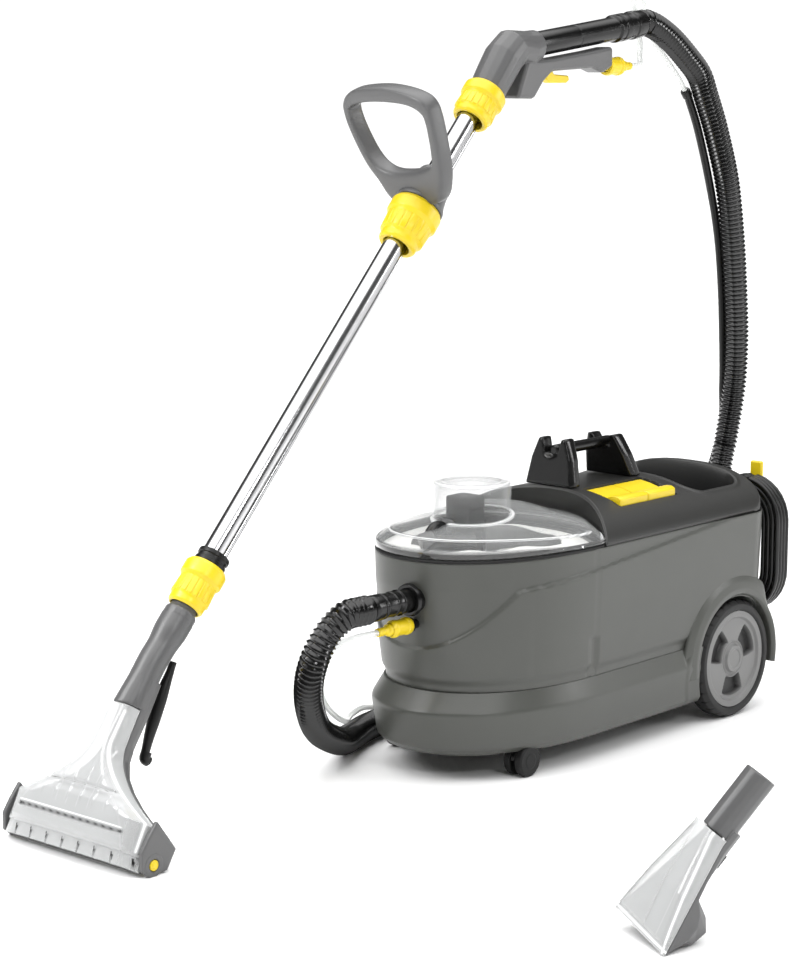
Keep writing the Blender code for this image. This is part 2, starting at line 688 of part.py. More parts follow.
# ------------------------------------------------------- hose and its fittings
HOSE_REST = HOSE_RADIUS + 0.0005  # height of the hose's middle where it lies on the floor
BESIDE = HOSE_RADIUS  # the thin hoses lie beside the thick one, so their places across grow with it
HOSE_ROUTE = [
    (-0.4465, HOSE_Y, HOSE_Z), (-0.4600, HOSE_Y, HOSE_Z), (-0.4900, -0.0110, HOSE_Z - 0.002),
    (-0.5150, -0.0030, HOSE_Z - 0.023),
    (-0.5270, 0.0100, 0.2050), (-0.5190, 0.0300, 0.1650), (-0.4900, 0.0560, 0.1180),
    (-0.4380, 0.0880, 0.0700),
    (-0.3600, 0.1220, 0.0330), (-0.3000, 0.1540, 0.0215), (-0.2400, 0.1745, HOSE_REST),
    (-0.1500, 0.1860, HOSE_REST),
    (0.0000, 0.1900, HOSE_REST), (0.1500, 0.1920, HOSE_REST), (0.3000, 0.1900, HOSE_REST),
    (0.4200, 0.1840, 0.0205),
    (0.5150, 0.1750, 0.0450), (0.5850, 0.1660, 0.1150), (0.6280, 0.1600, 0.2050), (0.6494, 0.1520, 0.3269),
    (0.6568, 0.1490, 0.3638), (0.6666, 0.1420, 0.4509), (0.6605, 0.1350, 0.5389), (0.6416, 0.1280, 0.6382),
    (0.6189, 0.1210, 0.7248), (0.5880, 0.1130, 0.8102), (0.5384, 0.1030, 0.8945), (0.4986, 0.0960, 0.9494),
    (0.4703, 0.0910, 0.9846), (0.4309, 0.0870, 1.0113), (0.3808, 0.0830, 1.0399), (0.3344, 0.0800, 1.0590),
    (0.3030, 0.0790, 1.0665), (0.2895, 0.0790, 1.0648),
]
SPRAY_FRONT_ROUTE = [
    (-0.4285, HOSE_Y, COUPLING_Z), (-0.4415, HOSE_Y, COUPLING_Z), (-0.4660, -0.0090, COUPLING_Z - 0.001),
    (-0.4840, 0.0130, COUPLING_Z - 0.014), (-0.4840, BESIDE + 0.0170, 0.1720),
    (-0.4600, BESIDE + 0.0420, 0.1320),
    (-0.4130, BESIDE + 0.0690, 0.0940), (-0.3520, BESIDE + 0.0980, 0.0620),
    (-0.3000, BESIDE + 0.1340, 2 * BESIDE + 0.012),
    (-0.2400, BESIDE + 0.1650, 2 * BESIDE + 0.006), (-0.1800, BESIDE + 0.1870, 2 * BESIDE - 0.010),
    (-0.1200, BESIDE + 0.1960, 0.0080),
    (0.0000, BESIDE + 0.1965, 0.0060), (0.1500, BESIDE + 0.1980, 0.0060), (0.3000, BESIDE + 0.1960, 0.0060),
    (0.4200, BESIDE + 0.1900, 0.0080), (0.5050, BESIDE + 0.1850, 0.0280), (0.5520, BESIDE + 0.1792, 0.0670),
    (0.5570, BESIDE + 0.1788, 0.0755),
]
SHEATH_ROUTE = [
    (0.5595, BESIDE + 0.1785, 0.0800), (0.5640, BESIDE + 0.1780, 0.0880), (0.5900, BESIDE + 0.1745, 0.1350),
    (0.6200, BESIDE + 0.1705, 0.2100), (0.6750, BESIDE + 0.1543, 0.3606), (0.6749, BESIDE + 0.1500, 0.4491),
    (0.6617, BESIDE + 0.1433, 0.5380), (0.6422, BESIDE + 0.1360, 0.6366), (0.6167, BESIDE + 0.1290, 0.7237),
    (0.5704, BESIDE + 0.1160, 0.8102), (0.5198, BESIDE + 0.1047, 0.8945), (0.4835, BESIDE + 0.0995, 0.9472),
    (0.4725, BESIDE + 0.0980, 0.9578),
]
SPRAY_REAR_ROUTE = [
    (0.4688, BESIDE + 0.0975, 0.9611), (0.4623, BESIDE + 0.0970, 0.9668), (0.4366, 0.1110, 0.9830),
    (0.4011, 0.1060, 1.0069), (0.3676, 0.1040, 1.0321), (0.3673, 0.1170, 1.0558),
    (0.3778, 0.1340, 1.0813), (0.3784, 0.1410, 1.1113), (0.3439, 0.1280, 1.1338),
    (0.3190, 0.1130, 1.1019), (0.3197, 0.1090, 1.0708), (0.3245, 0.1040, 1.0350),
    (0.3073, 0.0920, 1.0146), (0.2940, 0.0815, 1.0030), (0.2750, 0.0790, 0.9990),
    (0.2652, 0.0790, 0.9990),
]


def make_hose():
    socket_x = SOCKET_X
    socket = turned(
        "hose_socket",
        [(0.0225, 0.008), (0.0235, 0.002), (0.0235, 0), (0.0195, 0), (0.0195, -0.020),
        (CUFF_RADIUS + GAP, -0.020), (CUFF_RADIUS + GAP, 0.008)],
        "black",
        (socket_x, HOSE_Y, HOSE_Z),
        (-1, 0, 0),
        ring=True,
    )
    profile = [(0.0140, CUFF_LENGTH), (0.0185, CUFF_LENGTH - 0.001), (0.0190, CUFF_LENGTH - 0.010)]
    profile += [(0.0180, CUFF_LENGTH - 0.024), (CUFF_RADIUS, CUFF_LENGTH - 0.026), (CUFF_RADIUS, -0.016),
        (0.0140, -0.016)]
    cuff = turned("hose_cuff_front", profile, "black", (socket_x, HOSE_Y, HOSE_Z), (-1, 0, 0), ring=True)
    hose = cord("suction_hose", HOSE_ROUTE, HOSE_RADIUS, 0.045, "black", 2)
    front = cord("spray_hose_front", SPRAY_FRONT_ROUTE, SPRAY_HOSE_RADIUS, 0.032, "clear")
    sheath = cord("spray_hose_sheath", SHEATH_ROUTE, SHEATH_RADIUS, 0.045, "black")
    rear = cord("spray_hose_rear", SPRAY_REAR_ROUTE, SPRAY_HOSE_RADIUS, 0.015, "clear")
    return socket, cuff, hose, front, sheath, rear


def make_machine_coupling():
    place = Vector((SOCKET_X - 0.002, HOSE_Y, COUPLING_Z))
    out = -AXIS_X
    plug = [(0, 0.012), (0.0060, 0.012), (0.0060, 0.002), (0.0105, 0.002), (0.0105, -0.002),
        (0.0070, -0.002), (0.0070, -0.026), (0, -0.026)]
    nipple = turned("spray_nipple", plug, "black", place, out)
    sleeve = coupling("coupling_sleeve_machine", place + out * 0.003, out)
    return nipple, sleeve, coupling_core("hose_nipple_machine", place + out * 0.003, out)


def coupling(name, place, axis):
    """The yellow pull-back sleeve of a quick coupling."""
    r, n = COUPLING_RADIUS, COUPLING_LENGTH
    profile = [(r - 0.003, n), (r - 0.001, n - 0.012), (r, n - 0.014), (r, 0.004), (r - 0.001, 0),
        (0.0095, 0), (0.0095, n)]
    return turned(name, profile, "yellow", place, axis, ring=True)


def coupling_core(name, place, axis):
    """The hose tail inside the sleeve."""
    n = COUPLING_LENGTH
    profile = [(0, n + 0.0250), (0.0062, n + 0.0250), (0.0062, n + 0.006), (0.0090, n + 0.004),
        (0.0090, 0.010), (0, 0.010)]
    return turned(name, profile, "yellow", place, axis)


# ------------------------------------------------------------------ mains lead
def make_lead():
    """The lead, wound in a hank on the rear hook, with its gland in the housing."""
    gland = turned("cord_gland", [(0, 0.016), (0.006, 0.016), (0.0085, 0.000), (0.0125, 0),
        (0.0125, -0.003), (0.0085, -0.003), (0.0085, -0.012), (0, -0.012)],
                   "black", (REAR_X + 0.0085, -0.060, 0.100), (1, 0, 0), 20)
    outer = hank_outline(0.070, 0.110)
    inner = hank_outline(0.036, 0.074)
    centre = Vector((REAR_X + 0.037, -0.086, 0.2490))
    hank = extruded("lead_hank", outer, centre, AXIS_Y, AXIS_Z, 0.036, "black", 0.010)
    boolean(hank, extruded("hank_hole", inner, centre, AXIS_Y, AXIS_Z, 0.1, None))
    lead = cord(
        "lead_tail",
        [(0.3599, -0.060, 0.100), (0.368, -0.060, 0.100), (0.379, -0.067, 0.108), (0.374, -0.084, 0.123),
        (0.372, -0.086, 0.131), (0.3720, -0.086, 0.1386)],
        LEAD_RADIUS,
        0.014,
        "black",
    )
    return gland, hank, lead


def hank_outline(half, reach):
    """A tall loop with round ends, slightly fuller below."""
    points = arc((0, reach - half), half, 0, 180, 13)
    return points + arc((0, -reach + half), half, 180, 360, 13)


def make_hook():
    """The turning yellow hook that holds the hank."""
    x = REAR_X + 0.0035
    y, z = -0.086, 0.3150
    stem = rod("cable_hook", (x, y, z), (x + 0.060, y, z), 0.0070, "yellow", 16)
    blade = box("hook_blade", (x + 0.055, y - 0.011, z - 0.008), (x + 0.063, y + 0.011, z + 0.062), None,
        0.002)
    boolean(stem, blade, "UNION")
    return on_axis(stem, (x, y, z))


# ------------------------------------------------------------------------ wand
def wand(s, under=0.0, side=0.0):
    """A point on the wand: s along its axis, under towards the floor."""
    return WAND_FOOT + WAND_AXIS * s + WAND_UNDER * under + AXIS_Y * side


def nut(name, sizes):
    start, end, low, high = sizes
    length = end - start
    profile = [(high - 0.002, length), (high, length - 0.003), (high, length * 0.62),
        (low + 0.35 * (high - low), 0.004), (low, 0)]
    profile += [(NUT_BORE + GAP, 0), (NUT_BORE + GAP, length)]
    return turned(name, profile, "yellow", wand(start), WAND_AXIS, ring=True)


def make_wand_tubes():
    top = UPPER_NUT[1] - 0.020
    main = pipe("suction_tube", wand(0.020, -0.0045), wand(top, -0.0045), TUBE_RADIUS,
        TUBE_RADIUS - 0.0012, "steel")
    offset = -0.0045 + TUBE_RADIUS + SPRAY_TUBE_RADIUS + GAP
    spray = rod("spray_tube", wand(0.030, offset), wand(top - 0.010, offset), SPRAY_TUBE_RADIUS, "steel",
        16)
    collar = pipe("lower_collar", wand(LOWER_NUT[1] + FIT), wand(LOWER_NUT[1] + 0.020), 0.0225, NUT_BORE,
        "black")
    return main, spray, collar


def make_d_handle():
    """A closed grip across the wand, on a hub that the middle nut clamps to the tube."""
    base = wand(MIDDLE_NUT[1])
    up = Vector((-0.31, 0, 0.95)).normalized()
    roll = Matrix.Rotation(math.radians(-8), 3, WAND_AXIS)
    across = roll @ -AXIS_Y
    up = roll @ up
    top = [(0.082, 0.158), (0.060, 0.174), (0.0, 0.182), (-0.060, 0.174), (-0.082, 0.158)]
    outer = [(0.046, 0.006), (0.070, 0.060), (0.0850, 0.118), (0.0880, 0.140)] + top
    outer += [(-0.0870, 0.140), (-0.082, 0.118), (-0.060, 0.060), (-0.038, 0.006)]
    hole_top = [(0.057, 0.150), (0.0, 0.157), (-0.055, 0.149)]
    inner = [(0.032, 0.052), (0.050, 0.060), (0.057, 0.090), (0.064, 0.136)] + hole_top
    inner += [(-0.063, 0.137), (-0.058, 0.120), (-0.046, 0.086), (-0.034, 0.061), (-0.020, 0.054)]
    grip = extruded("d_handle", outer, base + WAND_AXIS * 0.006, across, up, 0.030, "body_grey", 0.006)
    boolean(grip, extruded("grip_hole", inner, base + WAND_AXIS * 0.006, across, up, 0.2, None))
    hub = [(0, 0.062), (0.026, 0.062), (0.030, 0.030), (0.0365, 0.006), (0.0365, FIT), (0, FIT)]
    boolean(grip, turned("grip_hub", hub, None, base, WAND_AXIS), "UNION")
    boolean(grip, rod("nut_room", wand(MIDDLE_NUT[0]), wand(MIDDLE_NUT[1] + FIT), 0.060, None))
    boolean(grip, rod("hub_bore", wand(MIDDLE_NUT[1] - 0.02), wand(MIDDLE_NUT[1] + 0.3), NUT_BORE + GAP,
        None))
    return grip


def make_grip():
    """The grey elbow above the upper nut, the black grip pipe and the arm below it."""
    start = wand(UPPER_NUT[1] + GAP)
    stations = [
        (start, WAND_AXIS, 0.0270), (wand(0.945, -0.002), WAND_AXIS, 0.0290),
        (wand(0.972, -0.004), Vector((0.74, 0, 0.67)), 0.0300),
        (wand(1.000, 0.000), Vector((0.86, 0, 0.50)), 0.0290),
        (Vector((0.004, WAND_Y, 1.024)), Vector((0.99, 0, 0.14)), 0.0270),
        (Vector((0.026, WAND_Y, 1.0290)), Vector((0.992, 0, 0.13)), 0.0235),
    ]
    rings = []
    for centre, heading, radius in stations:
        heading = heading.normalized()
        across = AXIS_Y.cross(heading)
        rings.append([centre + AXIS_Y * a + across * b for a, b in arc((0, 0), radius, 0, 337.5, 16)])
    elbow = loft("grip_elbow", rings, "body_grey")
    outline = [(-0.034, 0.952), (0.008, 0.951), (0.030, 0.976), (0.052, 0.9915), (0.106, 0.9940),
        (0.150, 0.9960), (0.176, 0.9880)]
    outline += [(0.200, 0.9980), (0.200, 1.0290), (0.150, 1.0220), (0.050, 1.0100), (-0.010, 1.0060)]
    arm = extruded("arm", outline, (0, WAND_Y, 0), AXIS_X, AXIS_Z, 0.034, None)
    add_bevel(arm, 0.004)
    boolean(elbow, arm, "UNION")
    run = (GRIP_END - GRIP_START).normalized()
    boolean(elbow, rod("grip_space", GRIP_START - run * 0.004, GRIP_END + run * 0.1, GRIP_RADIUS + GAP,
        None))
    slot = box("trigger_slot", (0.036, WAND_Y - 0.008, 0.970), (0.108, WAND_Y + 0.008, 0.9985), None)
    boolean(elbow, slot)
    length = (GRIP_END - GRIP_START).length
    profile = [(0.0215, length + 0.072), (0.0222, length + 0.050), (0.0205, length + 0.030),
        (0.0215, length + 0.022), (0.0215, length + 0.004), (GRIP_RADIUS, length), (GRIP_RADIUS, -0.002)]
    profile += [(GRIP_RADIUS - 0.003, -0.002), (GRIP_RADIUS - 0.003, length + 0.072)]
    grip = turned("grip_pipe", profile, "black", GRIP_START, run, ring=True)
    return elbow, grip


def make_trigger():
    outline = [(0.042, 0.9970), (0.046, 0.9800), (0.056, 0.9740), (0.096, 0.9740), (0.103, 0.9780),
        (0.101, 0.9850), (0.066, 0.9870), (0.058, 0.9970)]
    lever = extruded("trigger_lever", outline, (0, WAND_Y, 0), AXIS_X, AXIS_Z, 0.014, "yellow", 0.0015)
    return on_axis(lever, (0.048, WAND_Y, 0.990))


def make_wand_coupling():
    place = Vector((0.2004, WAND_Y, 0.9990))
    axis = Vector((1, 0, 0.0))
    sleeve_profile = [(0.0095, 0.046), (0.0125, 0.040), (0.0145, 0.036), (0.0145, 0.006), (0.0130, 0.0),
        (0.0085, 0.0), (0.0085, 0.046)]
    sleeve = turned("coupling_sleeve_wand", sleeve_profile, "yellow", place + axis * 0.0006, axis,
        ring=True)
    core = turned("hose_nipple_wand",
        [(0, 0.0640), (0.0060, 0.0640), (0.0060, 0.052), (0.0080, 0.050), (0.0080, 0.001), (0, 0.001)],
        "yellow", place, axis)
    return sleeve, core


# ------------------------------------------------------------------ floor head
class Nozzle:
    """What the floor head and the hand nozzle share: a channel that flares to its lip."""

    def __init__(self, apex, lip, across, throat, width, depths, flare, power):
        self.apex, self.lip, self.across = Vector(apex), Vector(lip), Vector(across).normalized()
        self.along = (self.lip - self.apex).normalized()
        self.front = self.across.cross(self.along).normalized()
        if self.front.z < 0:
            self.front = -self.front
        self.throat, self.width, self.depths, self.flare, self.power = throat, width, depths, flare, power

    def half(self, share):
        """Half the channel's width: the throat's, then opening between the two flare shares."""
        start, end = self.flare
        open_by = min(max((share - start) / (end - start), 0.0), 1.0)
        return self.throat + (self.width / 2 - self.throat) * open_by**self.power

    def ring(self, share, outline):
        centre = self.apex.lerp(self.lip, share)
        return [centre + self.across * a + self.front * b for a, b in outline]

    def arch(self, share, inset=0.0):
        half, depth = self.half(share) - inset, float(np.interp(share, (0.0, 0.55, 1.0),
            self.depths)) - inset
        low = [(-half, 0.0), (-half, depth * 0.5), (-half * 0.84, depth * 0.94), (-half * 0.6, depth)]
        return low + [(-a, b) for a, b in low[::-1]]

    def window(self, name, shares):
        """The clear front: an arch with a wall of even thickness."""
        rings = [self.ring(share, self.arch(share) + self.arch(share, HEAD_WALL)[::-1]) for share in shares]
        return loft(name, rings, "clear")

    def back(self, name, shares, profile):
        """The grey back behind the channel; profile gives its depth at some shares of the length."""
        rings = []
        for share in shares:
            half = self.half(max(share, 0.0))
            deep = float(np.interp(share, *zip(*profile)))
            rings.append(self.ring(share, [(-half, -GAP), (half, -GAP), (half, -deep / 2),
                (half * 0.8, -deep), (-half * 0.8, -deep), (-half, -deep / 2)]))
        return loft(name, rings, "body_grey")


HEAD = Nozzle(HEAD_APEX, HEAD_LIP, AXIS_Y, 0.021, HEAD_WIDTH, (0.024, 0.034, 0.026), (0.24, 0.70), 2.0)
HEAD_SHARES = (0.0, 0.24, 0.34, 0.44, 0.52, 0.60, 0.65, 0.70, 0.85, 1.0)
NECK = ((-0.120, 0.0190), (-0.060, 0.0185), (-0.030, 0.0190), (-0.017, 0.0225), (-0.007, 0.0225),
    (-0.004, 0.0188), (0.018, 0.0188))
CHEEK = ((-0.896, 0.0005), (-0.911, 0.010), (-0.911, 0.034), (-0.899, 0.051), (-0.883, 0.070),
    (-0.852, 0.027), (-0.868, 0.002))
BUTTON = (-0.891, 0.0145)  # X and Z of the lock buttons


def make_head():
    window = HEAD.window("head_window", HEAD_SHARES)
    body = HEAD.back("floor_tool_body", (-0.22,) + HEAD_SHARES, ((0.0, 0.024), (1.0, 0.0105)))
    rings = []
    end = [wand(NECK[0][0]) + AXIS_Y * a + WAND_UNDER * b for a, b in arc((0, 0), NECK[0][1], 0, 337.5, 16)]
    slant = WAND_AXIS.dot(HEAD.along)
    rings.append([p - WAND_AXIS * (((p - HEAD.apex).dot(HEAD.along) + FIT) / slant) for p in end])
    for s, radius in NECK:
        rings.append([wand(s) + AXIS_Y * a + WAND_UNDER * b for a, b in arc((0, 0), radius, 0, 337.5, 16)])
    boolean(body, loft("neck", rings, None), "UNION")
    boolean(body, rod("neck_bore", wand(-0.175), wand(0.05), 0.0155, None))
    for side in (-1, 1):
        y = WAND_Y + side * CHEEK_Y
        cheek = extruded(f"cheek_{side}", CHEEK, (0, y + side * 0.0035, 0), AXIS_X, AXIS_Z, 0.0070, None)
        boolean(body, cheek, "UNION")
        tie = sorted((y - side * 0.010, y + side * 0.004))
        boolean(body, box(f"cheek_tie_{side}", (-0.880, tie[0], 0.012), (-0.866, tie[1], 0.040), None),
            "UNION")
        bore = [(BUTTON[0], y + side * reach, BUTTON[1]) for reach in (-0.0005, 0.02)]
        boolean(body, rod(f"button_bore_{side}", *bore, 0.0070 + FIT / 2, None))
    return window, body


SPRAY_LANCE = [
    (-0.707, WAND_Y, 0.247), (-0.717, WAND_Y, 0.234), (-0.734, WAND_Y, 0.206), (-0.752, WAND_Y, 0.172),
    (-0.768, WAND_Y, 0.136),
    (-0.784, WAND_Y, 0.100),
]


def make_head_fittings():
    made = []
    for side, label in ((-1, "near"), (1, "far")):
        y = WAND_Y + side * (CHEEK_Y + GAP)
        ends = [(BUTTON[0], y + side * reach, BUTTON[1]) for reach in (0, 0.0085)]
        made.append(rod(f"lock_button_{label}", *ends, 0.0070, "yellow"))
    line = cord("spray_nozzle_lance", SPRAY_LANCE, 0.006, 0.012, "black")
    line.data.bevel_resolution = 2
    made.append(line)
    return made


# ----------------------------------------------------------------- hand nozzle
def make_hand_nozzle():
    """The small tool for upholstery, standing on its lip."""
    heading, rise = math.radians(HAND_HEADING), math.radians(HAND_RISE)
    axis = Vector((math.cos(heading) * math.cos(rise), math.sin(heading) * math.cos(rise), math.sin(rise)))
    level_across = Vector((math.sin(heading), -math.cos(heading), 0))
    across = Matrix.Rotation(math.radians(HAND_ROLL), 3, axis) @ level_across
    lip = Vector(HAND_LIP)
    frame = Nozzle(lip + axis * HAND_HEAD, lip, across, 0.0235, HAND_WIDTH, (0.0235, 0.018, 0.006),
        (0.05, 1.0), 1.0)
    shares = (0.0, 0.05, 0.35, 0.50, 0.58, 0.68, 0.80, 0.90, 1.0)
    heel = ((0.0, 0.017), (0.10, 0.017), (0.35, 0.011), (0.50, 0.013), (0.58, 0.036), (0.68, 0.048),
        (0.80, 0.040), (0.90, 0.0215), (1.0, 0.002))
    window = frame.window("hand_nozzle_window", shares)
    body = frame.back("hand_nozzle_body", (-0.10,) + shares, heel)
    foot, top = frame.apex + axis * FIT, frame.apex + axis * (HAND_LENGTH - HAND_HEAD)
    boolean(body, rod("hand_pipe", foot, top, HAND_PIPE_RADIUS, None), "UNION")
    boolean(body, rod("hand_bore", foot - axis * 0.004, top + axis * 0.01, HAND_PIPE_RADIUS - 0.003, None))
    clip_place = frame.apex - frame.front * (0.016 + 0.007) + frame.along * 0.024
    clip = extruded("hand_nozzle_clip",
        ((-0.009, -0.006), (0.009, -0.006), (0.011, 0.006), (-0.010, 0.006)), clip_place, frame.along,
        frame.front, 0.016, "black")
    return window, body, clip


# --------------------------------------------------------------------- assembly
def centre_on_floor(left_out):
    """Moves the object so that its bounding box, without the cords, stands centred on the origin."""
    bpy.context.view_layer.update()
    graph = bpy.context.evaluated_depsgraph_get()
    low, high = np.full(3, np.inf), np.full(3, -np.inf)
    for obj in bpy.data.objects:
        if obj.type in ("MESH", "CURVE") and not obj.hide_render and obj.name not in left_out:
            shape = obj.evaluated_get(graph)
            mesh = shape.to_mesh()
            points = np.array([shape.matrix_world @ vertex.co for vertex in mesh.vertices])
            shape.to_mesh_clear()
            low, high = np.minimum(low, points.min(axis=0)), np.maximum(high, points.max(axis=0))
    ROOT.location = (-(low[0] + high[0]) / 2, -(low[1] + high[1]) / 2, -low[2])


CORD_NODES = (
    "suction_hose", "spray_hose_front", "spray_hose_sheath", "spray_hose_rear",
    "hose_cuff_front", "hose_nipple_machine", "hose_nipple_wand", "lead_hank", "lead_tail",
)


def build():
    global ROOT
    clear_scene()
    ROOT = bpy.data.objects.new("frame", None)
    bpy.context.scene.collection.objects.link(ROOT)
    make_base_pan()
    make_body()
    make_cover()
    make_seal()
    make_lid()
    make_tank()
    make_tank_fittings()
    make_carry_handle()
    make_pedals()
    make_badge()
    make_wheels()
    make_castors()
    make_machinery()
    make_hose()
    make_machine_coupling()
    make_lead()
    make_hook()
    make_wand_tubes()
    for name, sizes in (("lower_nut", LOWER_NUT), ("middle_nut", MIDDLE_NUT), ("upper_nut", UPPER_NUT)):
        nut(name, sizes)
    make_d_handle()
    make_grip()
    make_trigger()
    make_wand_coupling()
    make_head()
    make_head_fittings()
    make_hand_nozzle()
    centre_on_floor(CORD_NODES)


build()
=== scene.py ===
"""A carpet cleaner's finished surfaces: machine, hose, floor wand and hand nozzle.

Places are given in the machine's own frame: X along the machine from its hose
end to its large wheels, Y across it and Z up from the floor. ORIGIN moves
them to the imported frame.
"""

import math

import bmesh
import bpy
import numpy as np
from mathutils import Matrix, Vector


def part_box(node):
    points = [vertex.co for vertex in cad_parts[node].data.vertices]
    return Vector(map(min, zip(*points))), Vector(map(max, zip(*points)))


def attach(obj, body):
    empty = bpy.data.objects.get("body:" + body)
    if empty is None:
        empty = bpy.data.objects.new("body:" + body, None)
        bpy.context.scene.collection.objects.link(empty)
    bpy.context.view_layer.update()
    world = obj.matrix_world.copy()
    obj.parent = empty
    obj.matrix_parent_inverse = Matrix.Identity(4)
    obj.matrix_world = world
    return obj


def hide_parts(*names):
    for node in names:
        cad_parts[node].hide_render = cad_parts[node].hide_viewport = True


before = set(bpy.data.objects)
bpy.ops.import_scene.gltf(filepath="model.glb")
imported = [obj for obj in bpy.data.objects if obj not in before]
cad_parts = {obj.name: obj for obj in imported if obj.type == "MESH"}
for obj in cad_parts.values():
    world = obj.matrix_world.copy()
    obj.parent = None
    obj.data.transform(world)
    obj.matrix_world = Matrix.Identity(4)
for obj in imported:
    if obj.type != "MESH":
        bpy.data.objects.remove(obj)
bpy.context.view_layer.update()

AXLE_LOW, AXLE_HIGH = (np.array(corner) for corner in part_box("rear_axle"))
WHEEL_X, WHEEL_RADIUS = 0.243, 0.0915
ORIGIN = (AXLE_LOW + AXLE_HIGH) / 2 - (WHEEL_X, 0.0, WHEEL_RADIUS)

# Machine
FRONT_X, REAR_X, HALF_WIDTH = -0.355, 0.335, 0.154
NOSE_LENGTH, NOSE_POWER, REAR_CORNER = 0.25, 2.2, 0.045
PAN_BOTTOM, PAN_EDGE, BODY_BOTTOM, BODY_TOP = 0.038, 0.102, 0.128, 0.316
LID_BOTTOM = BODY_TOP + 0.0044
CROWN_RISE = 0.057
LID_SPAN_X, LID_SIDE_X = -0.020, -0.092
TURRET_X, TURRET_RADIUS, TURRET_TOP = -0.209, 0.057, 0.411
LID_WALL = 0.0026
LID_SLOPE = 0.030
SKIN = 0.0006  # how far a finished surface stands proud of the solid under it
WELL = (0.178, 0.315, 0.116, 0.035)  # front, rear, half width and corner radius of the storage well
WELL_FLOOR = 0.262
PEDAL_FRONT, PEDAL_LENGTH, PEDAL_NEAR, PEDAL_FAR = 0.002, 0.069, -0.110, -0.042
WHEEL_OUT, WHEEL_WIDTH, RIM_RADIUS = 0.158, 0.036, 0.0755
ARCH_RADIUS = WHEEL_RADIUS + 0.007
BAND_IN, BAND_OUT = 0.127, 0.134  # where the band round a large wheel is full, and where it ends
BADGE_STRIPE = (0.254, 0.262)
CASTOR_X, CASTOR_Y, CASTOR_RADIUS = -0.231, 0.114, 0.023

# Hose
HOSE_Y, HOSE_Z, SOCKET_X = -0.014, 0.262, -0.358
HOSE_RADIUS, HOSE_RIB_PITCH = 0.0210, 0.0080
HOSE_REST = HOSE_RADIUS + 0.0005
BESIDE = HOSE_RADIUS  # the thin hoses lie beside the thick one
TUBE_RADIUS_SPRAY, SHEATH_RADIUS = 0.0045, 0.0070
COUPLING_Z, COUPLING_LENGTH = 0.226, 0.040
CUFF_RADIUS = 0.0168
LEAD_RADIUS, LEAD_PITCH, LEAD_TURNS = 0.004, 0.0084, 16
HANK_CENTRE = (REAR_X + 0.037, -0.086, 0.2490)

# Wand
WAND_Y = 0.079
WAND_SEAT = (0.2004, WAND_Y, 0.9990)  # foot of the coupling under the grip
WAND_FOOT = np.array([-0.706, WAND_Y, 0.293])
WAND_ANGLE = math.radians(47.2)
WAND_AXIS = np.array([math.cos(WAND_ANGLE), 0, math.sin(WAND_ANGLE)])
WAND_UNDER = np.array([math.sin(WAND_ANGLE), 0, -math.cos(WAND_ANGLE)])
MAIN_TUBE_RADIUS, SPRAY_TUBE_RADIUS, NUT_BORE = 0.0150, 0.0045, 0.0207
LOWER_NUT = (0.000, 0.066, 0.0245, 0.0300)
MIDDLE_NUT = (0.620, 0.690, 0.0280, 0.0385)
UPPER_NUT = (0.856, 0.913, 0.0270, 0.0330)
GRIP_RADIUS = 0.0185
GRIP_START = np.array([0.020, WAND_Y, 1.030])
GRIP_END = np.array([0.215, WAND_Y, 1.0550])

# Floor head and hand nozzle
HEAD_WIDTH, CHEEK_Y = 0.250, 0.1284
HEAD_APEX = np.array([-0.806, WAND_Y, 0.177])
HEAD_LIP = np.array([-0.908, WAND_Y, 0.006])
BUTTON = (-0.891, 0.0145)
HAND_LIP = np.array([-0.675, -0.6465, 0.0115])
HAND_HEADING, HAND_RISE, HAND_ROLL = -38.5, 51.7, 17.0
HAND_HEAD, HAND_WIDTH = 0.145, 0.120

X_AXIS, Y_AXIS, Z_AXIS = np.eye(3)


# ------------------------------------------------------------ numbers to shapes
def unit(vector):
    """A vector, or each of many, at length one."""
    vector = np.asarray(vector, float)
    return vector / np.linalg.norm(vector, axis=-1, keepdims=True)


def step(value, low, high):
    """0 below low, 1 above high, with a smooth S between: 3t^2 - 2t^3."""
    t = np.clip((np.asarray(value, float) - low) / (high - low), 0, 1)
    return t * t * (3 - 2 * t)


def falls(value, low, high):
    """1 below low and 0 above high, with the same smooth S between."""
    return step(-value, -high, -low)


def line(value, width):
    """1 on a line where the value is zero, fading out over its width."""
    return np.exp(-((value / width) ** 2))


def eased(outline, cut, closed=False, count=5):
    """An outline whose corners are quadratic curves that start and end `cut` away from each corner."""
    p = np.array(outline, float)
    before, after = np.roll(p, 1, 0) - p, np.roll(p, -1, 0) - p
    near = np.minimum(cut / np.maximum(np.linalg.norm(before, axis=1), 1e-9), 0.45)[:, None]
    far = np.minimum(cut / np.maximum(np.linalg.norm(after, axis=1), 1e-9), 0.45)[:, None]
    start, end = (p + before * near)[:, None], (p + after * far)[:, None]
    t = np.linspace(0, 1, count)[None, :, None]
    curve = ((1 - t) ** 2 * start + 2 * t * (1 - t) * p[:, None] + t**2 * end).reshape(-1, p.shape[1])
    if closed:
        return curve
    return np.concatenate([p[:1], curve[count:-count], p[-1:]])


def evenly(points, count, closed=False):
    """Points moved to even steps along the line through them."""
    points = np.concatenate([points, points[:1]]) if closed else np.asarray(points, float)
    run = np.concatenate([[0], np.cumsum(np.linalg.norm(np.diff(points, axis=0), axis=1))])
    wanted = np.linspace(0, run[-1], count + closed)[: count if closed else None]
    return np.stack([np.interp(wanted, run, points[:, k]) for k in range(points.shape[1])], axis=1)


